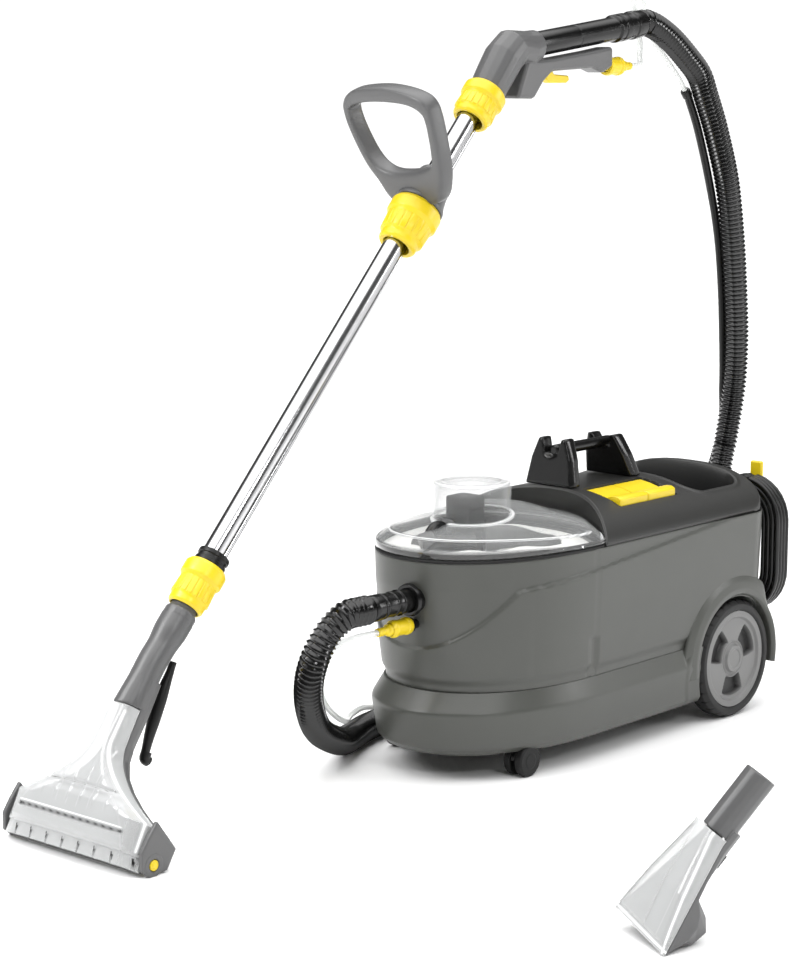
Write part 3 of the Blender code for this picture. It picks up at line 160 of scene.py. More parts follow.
def by_bearing(line, middle, bearings):
    """A closed line read at each bearing from a point inside it."""
    offset = line - middle
    bearing = np.arctan2(offset[:, 1], offset[:, 0])
    order = np.argsort(bearing)
    bearing, reach = bearing[order], np.linalg.norm(offset, axis=1)[order]
    reach = np.interp(bearings, bearing, reach, period=2 * np.pi)
    return middle + reach[:, None] * np.stack([np.cos(bearings), np.sin(bearings)], axis=1)


def smooth_line(points, count, closed=False):
    """Even steps along a Catmull-Rom curve: each span is the usual cubic of its four nearest points."""
    p = np.array(points, float)
    ends = (p[-1:], p[:2]) if closed else (2 * p[:1] - p[1:2], 2 * p[-1:] - p[-2:-1])
    p = np.concatenate([ends[0], p, ends[1]])
    a, b, c, d = (p[k : len(p) - 3 + k, None] for k in range(4))
    t = np.linspace(0, 1, 24, endpoint=False)[None, :, None]
    bend = (2 * a - 5 * b + 4 * c - d) * t**2 + (3 * b - a - 3 * c + d) * t**3
    curve = 0.5 * (2 * b + (c - a) * t + bend)
    curve = curve.reshape(-1, p.shape[1])
    return evenly(curve if closed else np.concatenate([curve, p[-2:-1]]), count, closed)


def route(points, spacing):
    """A cord's line: straight first and last steps with a smooth curve between."""
    inner = np.array(points[1:-1], float)
    length = np.linalg.norm(np.diff(smooth_line(inner, 400), axis=0), axis=1).sum()
    line = np.concatenate([[points[0]], smooth_line(inner, round(length / spacing)), [points[-1]]])
    total = np.linalg.norm(np.diff(line, axis=0), axis=1).sum()
    return evenly(line, round(total / spacing) + 1)


def swept(line, radius, sides=20, reference=Y_AXIS, flat=1.0):
    """Rings round a line: line(s) + radius(s, a) (side cos a + flat up sin a)."""
    line = np.asarray(line, float)
    tangent = unit(np.gradient(line, axis=0))
    side = unit(np.cross(tangent, reference))
    up = np.cross(side, tangent)
    angle = np.linspace(0, 2 * np.pi, sides, endpoint=False)
    radius = np.broadcast_to(np.asarray(radius, float).reshape(len(line) if np.ndim(radius) else 1, -1),
        (len(line), sides))
    across = side[:, None] * np.cos(angle)[None, :, None] + flat * up[:, None] * np.sin(angle)[None, :,
        None]
    return line[:, None] + radius[..., None] * across


def turned(profile, place, axis, sides=64, ribs=None, cut=0.0008):
    """A profile of (radius, height) turned round an axis: place + axis h + (r + ribs(h, a))
    round the axis."""
    profile = eased(profile, cut)
    axis = unit(axis)
    first = unit(np.cross(axis, Y_AXIS if abs(axis[1]) < 0.9 else X_AXIS))
    second = np.cross(axis, first)
    angle = np.linspace(0, 2 * np.pi, sides, endpoint=False)
    radius, height = profile[:, :1], profile[:, 1:]
    radius = radius + (ribs(height, angle[None]) if ribs else 0.0)
    around = first * np.cos(angle)[:, None] + second * np.sin(angle)[:, None]
    return np.asarray(place, float) + height[..., None] * axis + radius[..., None] * around[None]


def capped(grid):
    """A grid of rings with each end closed by a ring at its middle."""
    first, last = (grid[k].mean(axis=0) for k in (0, -1))
    columns = grid.shape[1]
    return np.concatenate([np.tile(first, (1, columns, 1)), grid, np.tile(last, (1, columns, 1))])


def joined(grid):
    """A grid whose last ring meets its first again."""
    return np.concatenate([grid, grid[:1]])


def tidy(mesh, sharp):
    """Closes the seam and the poles, turns the faces outwards and marks the sharp edges."""
    bm = bmesh.new()
    bm.from_mesh(mesh)
    bmesh.ops.remove_doubles(bm, verts=bm.verts, dist=2e-6)
    bmesh.ops.dissolve_degenerate(bm, edges=bm.edges, dist=1e-7)
    bmesh.ops.recalc_face_normals(bm, faces=bm.faces)
    bm.to_mesh(mesh)
    bm.free()
    mesh.shade_smooth()
    mesh.set_sharp_from_angle(angle=math.radians(sharp))


def settle(obj, finish, body, stands_for=()):
    """Gives a finished object its material and its body, and hides the nodes that it stands for."""
    obj.data.materials.clear()
    obj.data.materials.append(finish)
    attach(obj, body)
    if stands_for:
        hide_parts(*stands_for)
    return obj


def surface(name, grid, finish, body, stands_for=(), wrap=(False, True), wall=0.0, sharp=40, values=None):
    """A piece on a grid of points [row, column, xyz], with walls `wall` thick where it is an
    open shell."""
    rows, columns = grid.shape[:2]
    i = np.arange(rows if wrap[0] else rows - 1)
    j = np.arange(columns if wrap[1] else columns - 1)
    i, j = np.meshgrid(i, j, indexing="ij")
    k, l = (i + 1) % rows, (j + 1) % columns
    corners = (i * columns + j, k * columns + j, k * columns + l, i * columns + l)
    quads = np.stack(corners, axis=-1).reshape(-1, 4).astype(np.int32)
    mesh = bpy.data.meshes.new(name)
    mesh.vertices.add(rows * columns)
    mesh.vertices.foreach_set("co", (grid.reshape(-1, 3) + ORIGIN).astype(np.float32).ravel())
    mesh.loops.add(quads.size)
    mesh.loops.foreach_set("vertex_index", quads.ravel())
    mesh.polygons.add(len(quads))
    mesh.polygons.foreach_set("loop_start", np.arange(0, quads.size, 4, dtype=np.int32))
    mesh.update(calc_edges=True)
    for key, value in (values or {}).items():
        mesh.attributes.new(key, "FLOAT", "POINT").data.foreach_set("value",
            value.astype(np.float32).ravel())
    tidy(mesh, sharp)
    obj = bpy.data.objects.new(name, mesh)
    bpy.context.scene.collection.objects.link(obj)
    if wall:
        shell = obj.modifiers.new("wall", "SOLIDIFY")
        shell.thickness = wall
        shell.offset = -1
    return settle(obj, finish, body, stands_for)


def moulded_copy(node, finish, body, voxel=0.0014, rounds=6):
    """A node's solid with moulded edges: its surface resampled at the voxel size and relaxed a
    few rounds."""
    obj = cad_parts[node].copy()
    obj.data = obj.data.copy()
    obj.name = f"{node}_moulded"
    bpy.context.scene.collection.objects.link(obj)
    tidy(obj.data, 180)
    remesh = obj.modifiers.new("skin", "REMESH")
    remesh.mode = "VOXEL"
    remesh.voxel_size = voxel
    remesh.use_smooth_shade = True
    relax = obj.modifiers.new("relax", "SMOOTH")
    relax.iterations = rounds
    relax.factor = 0.5
    graph = bpy.context.evaluated_depsgraph_get()
    mesh = bpy.data.meshes.new_from_object(obj.evaluated_get(graph))
    obj.modifiers.clear()
    obj.data = mesh
    mesh.shade_smooth()
    return settle(obj, finish, body, (node,))


# -------------------------------------------------------------------- finishes
class Number:
    """A value that varies over a surface, with the arithmetic that the finishes use."""

    def __init__(self, finish, socket):
        self.finish, self.socket = finish, socket

    def maths(self, operation, first, second):
        return self.finish.node("Math", {"operation": operation}, {0: first, 1: second})

    def __add__(self, other):
        return self.maths("ADD", self, other)

    __radd__ = __add__

    def __mul__(self, other):
        return self.maths("MULTIPLY", self, other)

    __rmul__ = __mul__

    def __sub__(self, other):
        return self.maths("SUBTRACT", self, other)

    def __pow__(self, other):
        return self.maths("POWER", self, other)

    def __gt__(self, other):
        return self.maths("GREATER_THAN", self, other)


class Finish:
    """A Principled material whose colour, gloss and relief are worked out on the object's own
    coordinates."""

    def __init__(self, name, colour, roughness, metallic=0.0, **sockets):
        self.material = bpy.data.materials.new(name)
        self.material.use_nodes = True
        self.tree = self.material.node_tree
        self.shader = self.tree.nodes["Principled BSDF"]
        self.colour = (*colour, 1.0)
        self.set("Base Color", self.colour)
        self.set("Roughness", roughness)
        self.set("Metallic", metallic)
        for key, value in sockets.items():
            self.set(key.replace("_", " "), value)
        self.place = self.node("TexCoord", output="Object")

    def set(self, socket, value):
        if isinstance(value, Number):
            self.tree.links.new(value.socket, self.shader.inputs[socket])
        else:
            self.shader.inputs[socket].default_value = value

    def node(self, kind, settings=None, sockets=None, output=0):
        """Any other node: its settings first, then the values or links of its sockets."""
        made = self.tree.nodes.new(f"ShaderNode{kind}")
        for key, value in (settings or {}).items():
            setattr(made, key, value)
        for key, value in (sockets or {}).items():
            if isinstance(value, Number):
                self.tree.links.new(value.socket, made.inputs[key])
            else:
                made.inputs[key].default_value = value
        return Number(self, made.outputs[output])

    def noise(self, scale, detail=3.0, stretch=(1, 1, 1)):
        place = self.node("Mapping", None, {"Vector": self.place, "Scale": stretch})
        return self.node("TexNoise", None, {"Vector": place, "Scale": scale, "Detail": detail}, "Fac")

    def blend(self, share, low, high):
        """A colour between two, by share."""
        return self.node("Mix", {"data_type": "RGBA"}, {"Factor": share, 6: low, 7: high}, 2)

    def relief(self, height, strength, distance):
        self.set("Normal", self.node("Bump", None,
            {"Height": height, "Strength": strength, "Distance": distance}))


def shade(colour, factor):
    return tuple(min(c * factor, 1.0) for c in colour) + (1.0,)


def moulded(name, colour, roughness, grain=0.25, **sockets):
    """Injection-moulded plastic: a fine spark-eroded grain, soft clouds of colour and rubbed,
    shinier patches."""
    finish = Finish(name, colour, roughness, **sockets)
    cloud = finish.noise(9.0, 4.0)
    finish.set("Base Color", finish.blend(cloud, shade(colour, 0.90), shade(colour, 1.10)))
    rubbed = finish.noise(26.0, 6.0)
    finish.set("Roughness", roughness - 0.06 + 0.12 * rubbed)
    finish.relief(finish.noise(1500.0, 2.0) + 0.35 * finish.noise(320.0, 2.0), grain, 0.0003)
    return finish.material


def clear(name, tint, low, high, roughness=0.05):
    """Clear moulded plastic: see-through face on, denser at grazing angles, with painted shade
    lines and painted highlight lines."""
    finish = Finish(name, tint, roughness, Coat_Weight=0.6, Coat_Roughness=0.03)
    facing = finish.node("LayerWeight", None, {"Blend": 0.35}, "Facing")
    flow = finish.noise(14.0, 2.0, (1, 1, 0.3))
    painted_shade_line = finish.node("Attribute", {"attribute_name": "painted_shade_line"}, None, "Fac")
    painted_highlight_line = finish.node("Attribute", {"attribute_name": "painted_highlight_line"}, None, "Fac")
    # Painted shade lines turn the colour near black and painted highlight lines turn it white.
    body = finish.blend(painted_shade_line, shade(tint, 1.0), (0.01, 0.01, 0.01, 1))
    finish.set("Base Color", finish.blend(painted_highlight_line, body, (0.95, 0.96, 0.96, 1)))
    finish.set("Alpha", low + (high - low) * facing**1.6 + 0.05 * flow + 0.75 * painted_shade_line + 0.75 * painted_highlight_line)
    finish.relief(finish.noise(60.0, 2.0), 0.06, 0.001)
    return finish.material


def polished_tube(name, spread):
    """Bright metal with faint clouds of wear and a painted dark reflection where it turns away."""
    finish = Finish(name, (0.60, 0.60, 0.61), 0.10, 1.0)
    worn = finish.noise(spread, 3.0)
    finish.set("Roughness", 0.10 + 0.12 * worn)
    facing = finish.node("LayerWeight", None, {"Blend": 0.5}, "Facing")
    bright = finish.blend(finish.noise(30.0, 3.0), (0.52, 0.52, 0.53, 1), (0.70, 0.70, 0.71, 1))
    # Painted dark reflection: the colour turns near black where the surface turns away from the view.
    finish.set("Base Color", finish.blend(facing**1.5, bright, (0.03, 0.03, 0.03, 1)))
    return finish.material


def tyre_rubber(name, colour, roughness, **sockets):
    """Matt rubber with a dusty bloom in its low spots."""
    finish = Finish(name, colour, roughness, **sockets)
    dust = finish.noise(45.0, 5.0) ** 2.0
    finish.set("Base Color", finish.blend(dust, shade(colour, 0.8), shade(colour, 2.2)))
    finish.set("Roughness", roughness + 0.15 * dust)
    finish.relief(finish.noise(900.0, 2.0), 0.3, 0.0003)
    return finish.material


def badge_finish(low, high):
    """White plate with one coloured stripe across it between two heights."""
    finish = Finish("badge_white", (0.82, 0.82, 0.82), 0.30)
    height = finish.node("SeparateXYZ", None, {"Vector": finish.place}, "Z")
    stripe = (height > low) - (height > high)
    finish.set("Base Color", finish.blend(stripe, (0.85, 0.85, 0.85, 1), (0.93, 0.72, 0.02, 1)))
    finish.set("Roughness", 0.24 + 0.1 * finish.noise(40.0))
    return finish.material


def rim_finish():
    """Grey rim plastic with painted shade: near black in the recesses between the spokes."""
    colour = (0.15, 0.15, 0.148)
    finish = Finish("rim_grey", colour, 0.42)
    depth = finish.node("Attribute", {"attribute_name": "recess"}, None, "Fac")
    # Painted shade in the recesses between the spokes.
    finish.set("Base Color", finish.blend(depth, shade(colour, 1.0), (0.012, 0.012, 0.012, 1)))
    finish.set("Roughness", 0.40 + 0.10 * finish.noise(30.0))
    finish.relief(finish.noise(1400.0, 2.0), 0.25, 0.0003)
    return finish.material


def cover_finish():
    """Anthracite plastic with painted shade: near black inside the storage well."""
    colour = (0.016, 0.016, 0.015)
    finish = Finish("cover_anthracite", colour, 0.40, Specular_IOR_Level=0.4)
    inside = finish.node("Attribute", {"attribute_name": "inside"}, None, "Fac")
    cloud = finish.blend(finish.noise(9.0, 4.0), shade(colour, 0.9), shade(colour, 1.1))
    # Painted shade inside the storage well.
    finish.set("Base Color", finish.blend(inside, cloud, (0.002, 0.002, 0.002, 1)))
    finish.set("Roughness", 0.36 + 0.10 * finish.noise(26.0, 6.0) + 0.2 * inside)
    finish.relief(finish.noise(1500.0, 2.0) + 0.35 * finish.noise(320.0, 2.0), 0.3, 0.0003)
    return finish.material


GREY = moulded("housing_grey", (0.054, 0.056, 0.050), 0.36)
LIGHT_GREY = moulded("handle_grey", (0.085, 0.085, 0.086), 0.36)
DARK = cover_finish()
YELLOW = moulded("signal_yellow", (0.70, 0.52, 0.007), 0.34, 0.18)
BLACK = moulded("gloss_black", (0.0035, 0.0035, 0.0035), 0.20, 0.10, Specular_IOR_Level=0.35)
SATIN_BLACK = moulded("satin_black", (0.004, 0.004, 0.004), 0.36, 0.2, Specular_IOR_Level=0.3)
HOSE_BLACK = moulded("hose_black", (0.003, 0.003, 0.003), 0.17, 0.08, Specular_IOR_Level=0.5)
LEAD_BLACK = moulded("lead_black", (0.004, 0.004, 0.004), 0.32, 0.2, Specular_IOR_Level=0.4)
RUBBER = tyre_rubber("seal_rubber", (0.004, 0.004, 0.004), 0.50, Specular_IOR_Level=0.3)
TYRE = tyre_rubber("tyre_rubber", (0.008, 0.008, 0.008), 0.52, Specular_IOR_Level=0.35)
RIM = rim_finish()
LID_CLEAR = clear("lid_clear", (0.50, 0.51, 0.51), 0.04, 0.45)
TANK_CLEAR = clear("tank_clear", (0.62, 0.63, 0.62), 0.45, 0.85)
MOUTH_CLEAR = clear("mouth_clear", (0.72, 0.73, 0.73), 0.30, 0.80)
HOSE_CLEAR = clear("hose_clear", (0.80, 0.82, 0.80), 0.45, 0.95)
CHROME = polished_tube("chrome_tube", 240.0)
STEEL = polished_tube("steel", 90.0)
WHITE = moulded("filter_white", (0.78, 0.78, 0.76), 0.45)
BADGE = badge_finish(*(ORIGIN[2] + height for height in BADGE_STRIPE))


# ------------------------------------------------------------- camera and light
SURROUND = ((0.0, 0.35), (0.10, 0.35), (0.17, 0.035), (0.62, 0.03), (0.80, 1.0))  # height, level
LAMPS = {  # place, target, size and power
    "key": ((-2.2, 0.9, 1.9), (0, 0, 0.3), (0.7, 1.1), 34),
    "side": ((2.0, -2.4, 1.5), (0.2, 0, 0.3), (0.35, 1.5), 26),
    "front": ((-1.4, -3.0, 2.2), (0, 0, 0.3), (0.8, 0.5), 22),
}


def make_camera():
    """A long lens, level with the cover, that looks at the hose end and the near side."""
    place = np.array([-2.93181, -2.27830, 1.00244]) + ORIGIN
    turn, fall = math.radians(41.67), math.radians(9.451)
    view = Vector((math.cos(turn) * math.cos(fall), math.sin(turn) * math.cos(fall), -math.sin(fall)))
    right = Vector((math.sin(turn), -math.cos(turn), 0))
    up = right.cross(view)
    data = bpy.data.cameras.new("camera")
    data.sensor_fit = "HORIZONTAL"
    data.sensor_width = 36.0
    data.lens = 2500.0 / 793.0 * 36.0
    data.clip_end = 100.0
    camera = bpy.data.objects.new("camera", data)
    bpy.context.scene.collection.objects.link(camera)
    turned_to = Matrix((right, up, -view)).transposed().to_4x4()
    camera.matrix_world = Matrix.Translation(Vector(place)) @ turned_to
    bpy.context.scene.camera = camera


def make_light(name, place, target, size, power):
    data = bpy.data.lights.new(name, "AREA")
    data.shape = "RECTANGLE"
    data.size, data.size_y = size
    data.energy = power
    lamp = bpy.data.objects.new(name, data)
    bpy.context.scene.collection.objects.link(lamp)
    lamp.location = Vector(ORIGIN) + Vector(place)
    aim = Vector(ORIGIN) + Vector(target) - lamp.location
    lamp.rotation_euler = aim.to_track_quat("-Z", "Y").to_euler()


def make_stage():
    """A plain pale floor, a bright surround and three large soft lamps."""
    mesh = bpy.data.meshes.new("floor")
    reach = 14.0
    mesh.from_pydata([(-reach, -reach, 0), (reach, -reach, 0), (reach, reach, 0), (-reach, reach, 0)],
        [], [(0, 1, 2, 3)])
    floor = bpy.data.objects.new("floor", mesh)
    bpy.context.scene.collection.objects.link(floor)
    pale = Finish("floor_pale", (0.93, 0.93, 0.93), 0.60)
    mesh.materials.append(pale.material)
    world = bpy.data.worlds.new("surround")
    world.use_nodes = True
    nodes, links = world.node_tree.nodes, world.node_tree.links
    height = nodes.new("ShaderNodeSeparateXYZ")
    ramp = nodes.new("ShaderNodeValToRGB")
    links.new(nodes.new("ShaderNodeTexCoord").outputs["Generated"], height.inputs["Vector"])
    links.new(height.outputs["Z"], ramp.inputs["Fac"])
    links.new(ramp.outputs["Color"], nodes["Background"].inputs["Color"])
    below, *above = SURROUND
    ramp.color_ramp.elements[0].color = (below[1],) * 3 + (1,)
    for place, level in above:
        stop = ramp.color_ramp.elements.new(place)
        stop.color = (level, level, level, 1)
    nodes["Background"].inputs["Strength"].default_value = 3.2
    bpy.context.scene.world = world
    bpy.context.scene.view_settings.view_transform = "Standard"
    for name, (place, target, size, power) in LAMPS.items():
        make_light(name, place, target, size, power)


# --------------------------------------------------------------- hoses and lead
HOSE_ROUTE = [
    (-0.4465, HOSE_Y, HOSE_Z), (-0.4600, HOSE_Y, HOSE_Z), (-0.4900, -0.0110, 0.2600),
    (-0.5150, -0.0030, 0.2390),
    (-0.5270, 0.0100, 0.2050), (-0.5190, 0.0300, 0.1650), (-0.4900, 0.0560, 0.1180),
    (-0.4380, 0.0880, 0.0700),
    (-0.3600, 0.1220, 0.0330), (-0.3000, 0.1540, 0.0215), (-0.2400, 0.1745, HOSE_REST),
    (-0.1500, 0.1860, HOSE_REST),
    (0.0000, 0.1900, HOSE_REST), (0.1500, 0.1920, HOSE_REST), (0.3000, 0.1900, HOSE_REST),
    (0.4200, 0.1840, 0.0205),
    (0.5150, 0.1750, 0.0450), (0.5850, 0.1660, 0.1150), (0.6280, 0.1600, 0.2050),
    (0.6494, 0.1520, 0.3269),
    (0.6568, 0.1490, 0.3638), (0.6666, 0.1420, 0.4509), (0.6605, 0.1350, 0.5389),
    (0.6416, 0.1280, 0.6382),
    (0.6189, 0.1210, 0.7248), (0.5880, 0.1130, 0.8102), (0.5384, 0.1030, 0.8945),
    (0.4986, 0.0960, 0.9494),
    (0.4703, 0.0910, 0.9846), (0.4309, 0.0870, 1.0113), (0.3808, 0.0830, 1.0399),
    (0.3344, 0.0800, 1.0590),
    (0.3030, 0.0790, 1.0665), (0.2895, 0.0790, 1.0648),
]
SPRAY_FRONT_ROUTE = [
    (-0.4285, HOSE_Y, COUPLING_Z), (-0.4415, HOSE_Y, COUPLING_Z), (-0.4660, -0.0090, 0.2250),
    (-0.4840, 0.0130, 0.2120), (-0.4840, BESIDE + 0.0170, 0.1720), (-0.4600, BESIDE + 0.0420, 0.1320),
    (-0.4130, BESIDE + 0.0690, 0.0940), (-0.3520, BESIDE + 0.0980, 0.0620),
    (-0.3000, BESIDE + 0.1340, 2 * BESIDE + 0.012),
    (-0.2400, BESIDE + 0.1650, 2 * BESIDE + 0.006), (-0.1800, BESIDE + 0.1870, 2 * BESIDE - 0.010),
    (-0.1200, BESIDE + 0.1960, 0.0080),
    (0.0000, BESIDE + 0.1965, 0.0060), (0.1500, BESIDE + 0.1980, 0.0060),
    (0.3000, BESIDE + 0.1960, 0.0060),
    (0.4200, BESIDE + 0.1900, 0.0080), (0.5050, BESIDE + 0.1850, 0.0280),
    (0.5520, BESIDE + 0.1792, 0.0670),
    (0.5570, BESIDE + 0.1788, 0.0755),
]
SHEATH_ROUTE = [
    (0.5595, BESIDE + 0.1785, 0.0800), (0.5640, BESIDE + 0.1780, 0.0880),
    (0.5900, BESIDE + 0.1745, 0.1350),
    (0.6200, BESIDE + 0.1705, 0.2100), (0.6750, BESIDE + 0.1543, 0.3606),
    (0.6749, BESIDE + 0.1500, 0.4491),
    (0.6617, BESIDE + 0.1433, 0.5380), (0.6422, BESIDE + 0.1360, 0.6366),
    (0.6167, BESIDE + 0.1290, 0.7237),
    (0.5704, BESIDE + 0.1160, 0.8102), (0.5198, BESIDE + 0.1047, 0.8945),
    (0.4835, BESIDE + 0.0995, 0.9472),
    (0.4725, BESIDE + 0.0980, 0.9578),
]
SPRAY_REAR_ROUTE = [
    (0.4688, BESIDE + 0.0975, 0.9611), (0.4623, BESIDE + 0.0970, 0.9668), (0.4366, 0.1110, 0.9830),
    (0.4011, 0.1060, 1.0069), (0.3676, 0.1040, 1.0321), (0.3673, 0.1170, 1.0558),
    (0.3778, 0.1340, 1.0813), (0.3784, 0.1410, 1.1113), (0.3439, 0.1280, 1.1338),
    (0.3190, 0.1130, 1.1019), (0.3197, 0.1090, 1.0708), (0.3245, 0.1040, 1.0350),
    (0.3073, 0.0920, 1.0146), (0.2940, 0.0815, 1.0030), (0.2750, 0.0790, 0.9990),
    (0.2652, 0.0790, 0.9990),
]
LEAD_TAIL = [
    (0.3599, -0.060, 0.100), (0.368, -0.060, 0.100), (0.379, -0.067, 0.108), (0.374, -0.084, 0.123),
    (0.372, -0.086, 0.131), (0.3720, -0.086, 0.1386),
]


def free_cord(name, line, radius, finish, body, node, ribs=None, sides=20):
    """A hose or cord as a closed tube along its line."""
    shape = radius if ribs is None else ribs
    obj = surface(name, capped(swept(line, shape, sides)), finish, body, node, sharp=70)
    return obj


def make_hoses(cuff, nipple_machine, nipple_wand):
    """The ribbed suction hose with its rounded ribs r = R - depth (1 + cos 2 pi s / pitch) / 2,
    and the thin hoses."""
    path = route(HOSE_ROUTE, HOSE_RIB_PITCH / 6)
    turn = 2 * np.pi * np.arange(len(path)) / 6
    ribs = HOSE_RADIUS - 0.0034 * (0.5 + 0.5 * np.cos(turn)) ** 0.7
    ribs = np.repeat(ribs[:, None], 18, axis=1)
    free_cord("ribbed_suction_hose", path, HOSE_RADIUS, HOSE_BLACK, "housing", ("suction_hose",),
              ribs, 18)
    path = route(SPRAY_FRONT_ROUTE, 0.006)
    free_cord("clear_hose_front", path, TUBE_RADIUS_SPRAY, HOSE_CLEAR, "housing", ("spray_hose_front",))
    path = route(SHEATH_ROUTE, 0.0012)
    ribs = SHEATH_RADIUS - 0.0007 * (0.5 + 0.5 * np.cos(2 * np.pi * np.arange(len(path)) / 3))
    ribs = np.repeat(ribs[:, None], 14, axis=1)
    tips = (("low", path[0], path[1] - path[0]), ("high", path[-1], path[-2] - path[-1]))
    for label, place, inward in tips:
        ferrule = [(0.0047, -0.003), (0.0070, -0.003), (0.0082, -0.001), (0.0082, 0.010),
            (0.0072, 0.012), (0.0047, 0.012)]
        grid = turned(ferrule, place, inward, 40, cut=0.0005)
        surface(f"sheath_end_{label}", joined(grid), SATIN_BLACK, "housing")
    free_cord("hose_sheath", path, SHEATH_RADIUS, SATIN_BLACK, "housing", ("spray_hose_sheath",),
              ribs, 14)
    path = route(SPRAY_REAR_ROUTE, 0.005)
    free_cord("clear_hose_rear", path, TUBE_RADIUS_SPRAY, HOSE_CLEAR, "housing", ("spray_hose_rear",))


def hank_line():
    """The lead's turns: four rows of four, each turn a tall loop with round ends, wound from
    the outer row in."""
    pitch = LEAD_PITCH
    turn = np.linspace(0, LEAD_TURNS, LEAD_TURNS * 44)
    whole, part = np.floor(turn), turn % 1.0
    shift = step(part, 0.80, 1.0)
    count = np.minimum(whole + shift, LEAD_TURNS - 1)
    row = np.minimum(np.floor(count / 4) + step(count % 4, 3.0, 4.0), 3)
    layer_now = np.where(np.floor(count / 4) % 2 == 0, count % 4, 3 - count % 4)
    layer = np.where(count % 4 > 3, np.where(np.floor(count / 4) % 2 == 0, 3, 0), layer_now)
    half, reach = 0.0660 - pitch * row, 0.1060 - pitch * row
    straight, bend = 2 * (reach - half), np.pi * half
    run = part * 2 * (straight + bend)
    angle = -np.pi / 2 - np.clip(run, 0, bend / 2) / half
    angle = angle - np.clip(run - bend / 2 - straight, 0, bend) / half
    angle = angle - np.clip(run - 1.5 * bend - 2 * straight, 0, bend / 2) / half
    rise = np.clip(run - bend / 2, 0, straight) - np.clip(run - 1.5 * bend - straight, 0, straight)
    y = half * np.cos(angle)
    z = half * np.sin(angle) - (reach - half) + rise
    x = (layer - 1.5) * pitch
    return np.array(HANK_CENTRE) + np.stack([x, y, z], axis=1)


def make_lead():
    """The mains lead: out of its gland and wound in a hank on the hook, with its plug at the
    inner end."""
    hank = hank_line()
    tail = smooth_line(LEAD_TAIL[:-1] + [tuple(hank[1])], 26)
    path = np.concatenate([tail[:-1], hank[2:]])
    plug_start = path[-1]
    heading = unit(path[-1] - path[-4])
    body = [(0, -0.004), (0.0050, -0.004), (0.0062, 0.010), (0.0150, 0.016), (0.0170, 0.024),
        (0.0170, 0.038)]
    profile = body + [(0.0160, 0.040), (0, 0.040)]
    plug = surface("lead_plug", turned(profile, plug_start, heading, 40), LEAD_BLACK, "housing")
    free_cord("mains_lead", path, LEAD_RADIUS, LEAD_BLACK, "housing", ("lead_tail", "lead_hank"),
              None, 10)


# --------------------------------------------------------------------- housing
def plan(inset, nose_inset, corner_points=10):
    """The housing from above: a superellipse nose, straight sides and round rear corners, for
    each inset."""
    inset, nose_inset = (np.atleast_1d(np.asarray(v, float))[:, None] for v in (inset, nose_inset))
    half, front = HALF_WIDTH - inset, FRONT_X + inset + nose_inset
    start = FRONT_X + NOSE_LENGTH
    a = np.radians(np.linspace(90, 270, 181))[None]
    x = start - (start - front) * np.abs(np.cos(a)) ** (2 / NOSE_POWER)
    y = half * np.sign(np.sin(a)) * np.abs(np.sin(a)) ** (2 / NOSE_POWER)
    radius = np.maximum(REAR_CORNER - inset, 0.004)
    back = REAR_X - inset
    along = np.linspace(0, 1, 150)[None, 1:]
    bend = np.radians(np.linspace(-90, 0, corner_points))[None, 1:]
    side = start + (back - radius - start) * along
    across = -half + radius + (2 * half - 2 * radius) * np.linspace(0, 1, 40)[None, 1:]
    back_x, radius_y = back + 0 * across, 0 * along
    xs = [x, side, back - radius + radius * np.cos(bend), back_x,
        back - radius + radius * np.cos(bend + np.pi / 2)]
    ys = [y, -half + radius_y, -half + radius + radius * np.sin(bend), across,
        half - radius + radius * np.sin(bend + np.pi / 2)]
    xs.append(side[:, ::-1])
    ys.append(half + radius_y)
    rows = len(half)
    return tuple(np.concatenate([np.broadcast_to(v, (rows, v.shape[1])) for v in many], axis=1)
        for many in (xs, ys))


def outward(x, y):
    """The outline's normal in the plan, from the tangent between its neighbours."""
    tx, ty = np.roll(x, -1, 1) - np.roll(x, 1, 1), np.roll(y, -1, 1) - np.roll(y, 1, 1)
    size = np.hypot(tx, ty)
    return ty / size, -tx / size


def side_relief(x, y, z):
    """Height of the pressed shapes on the sides: a panel behind a slanting edge, a recess and
    the wheel's band."""
    flank = np.maximum(step(np.abs(y), 0.100, 0.140), step(-x, 0.200, 0.240))
    slant = (x + 0.3543) - (z - 0.1814) * (0.0974 / 0.0951)
    level = 0.2765 + 0.09 * (x + 0.2569) - z
    panel = step(np.minimum(slant, level), 0.0, 0.006) * step(z, 0.135, 0.150)
    slot = step(x, -0.124, -0.119) * falls(x, -0.1085, -0.1035)
    slot = slot * step(z, 0.128, 0.132) * falls(z, 0.184, 0.190)
    seam = falls(np.abs(x + 0.1125), 0.0008, 0.0022) * step(z, 0.190, 0.194)
    far = np.hypot(x - WHEEL_X, z - WHEEL_RADIUS)
    band = falls(far, BAND_IN, BAND_OUT)
    return flank * (0.0042 * panel * (1 - band) - 0.0030 * slot - 0.0009 * seam + 0.0042 * band)


def arch_cutter(name, side):
    """The round space that the wheel turns in."""
    inside = WHEEL_OUT - WHEEL_WIDTH - 0.007
    profile = [(0, inside - 0.004), (ARCH_RADIUS, inside - 0.004), (ARCH_RADIUS, 0.3), (0, 0.3)]
    grid = turned(profile, (WHEEL_X, 0, WHEEL_RADIUS), (0, side, 0), 96, cut=0.0)
    return surface(name, grid, GREY, "housing")


def cut_arches(obj, cutters):
    """Takes the wheel spaces out of a shell for good, so that no modifier is left on it."""
    for cutter in cutters:
        cut = obj.modifiers.new("arch", "BOOLEAN")
        cut.operation = "DIFFERENCE"
        cut.object = cutter
    graph = bpy.context.evaluated_depsgraph_get()
    mesh = bpy.data.meshes.new_from_object(obj.evaluated_get(graph))
    obj.modifiers.clear()
    obj.data = mesh
    mesh.shade_smooth()
    mesh.set_sharp_from_angle(angle=math.radians(32))


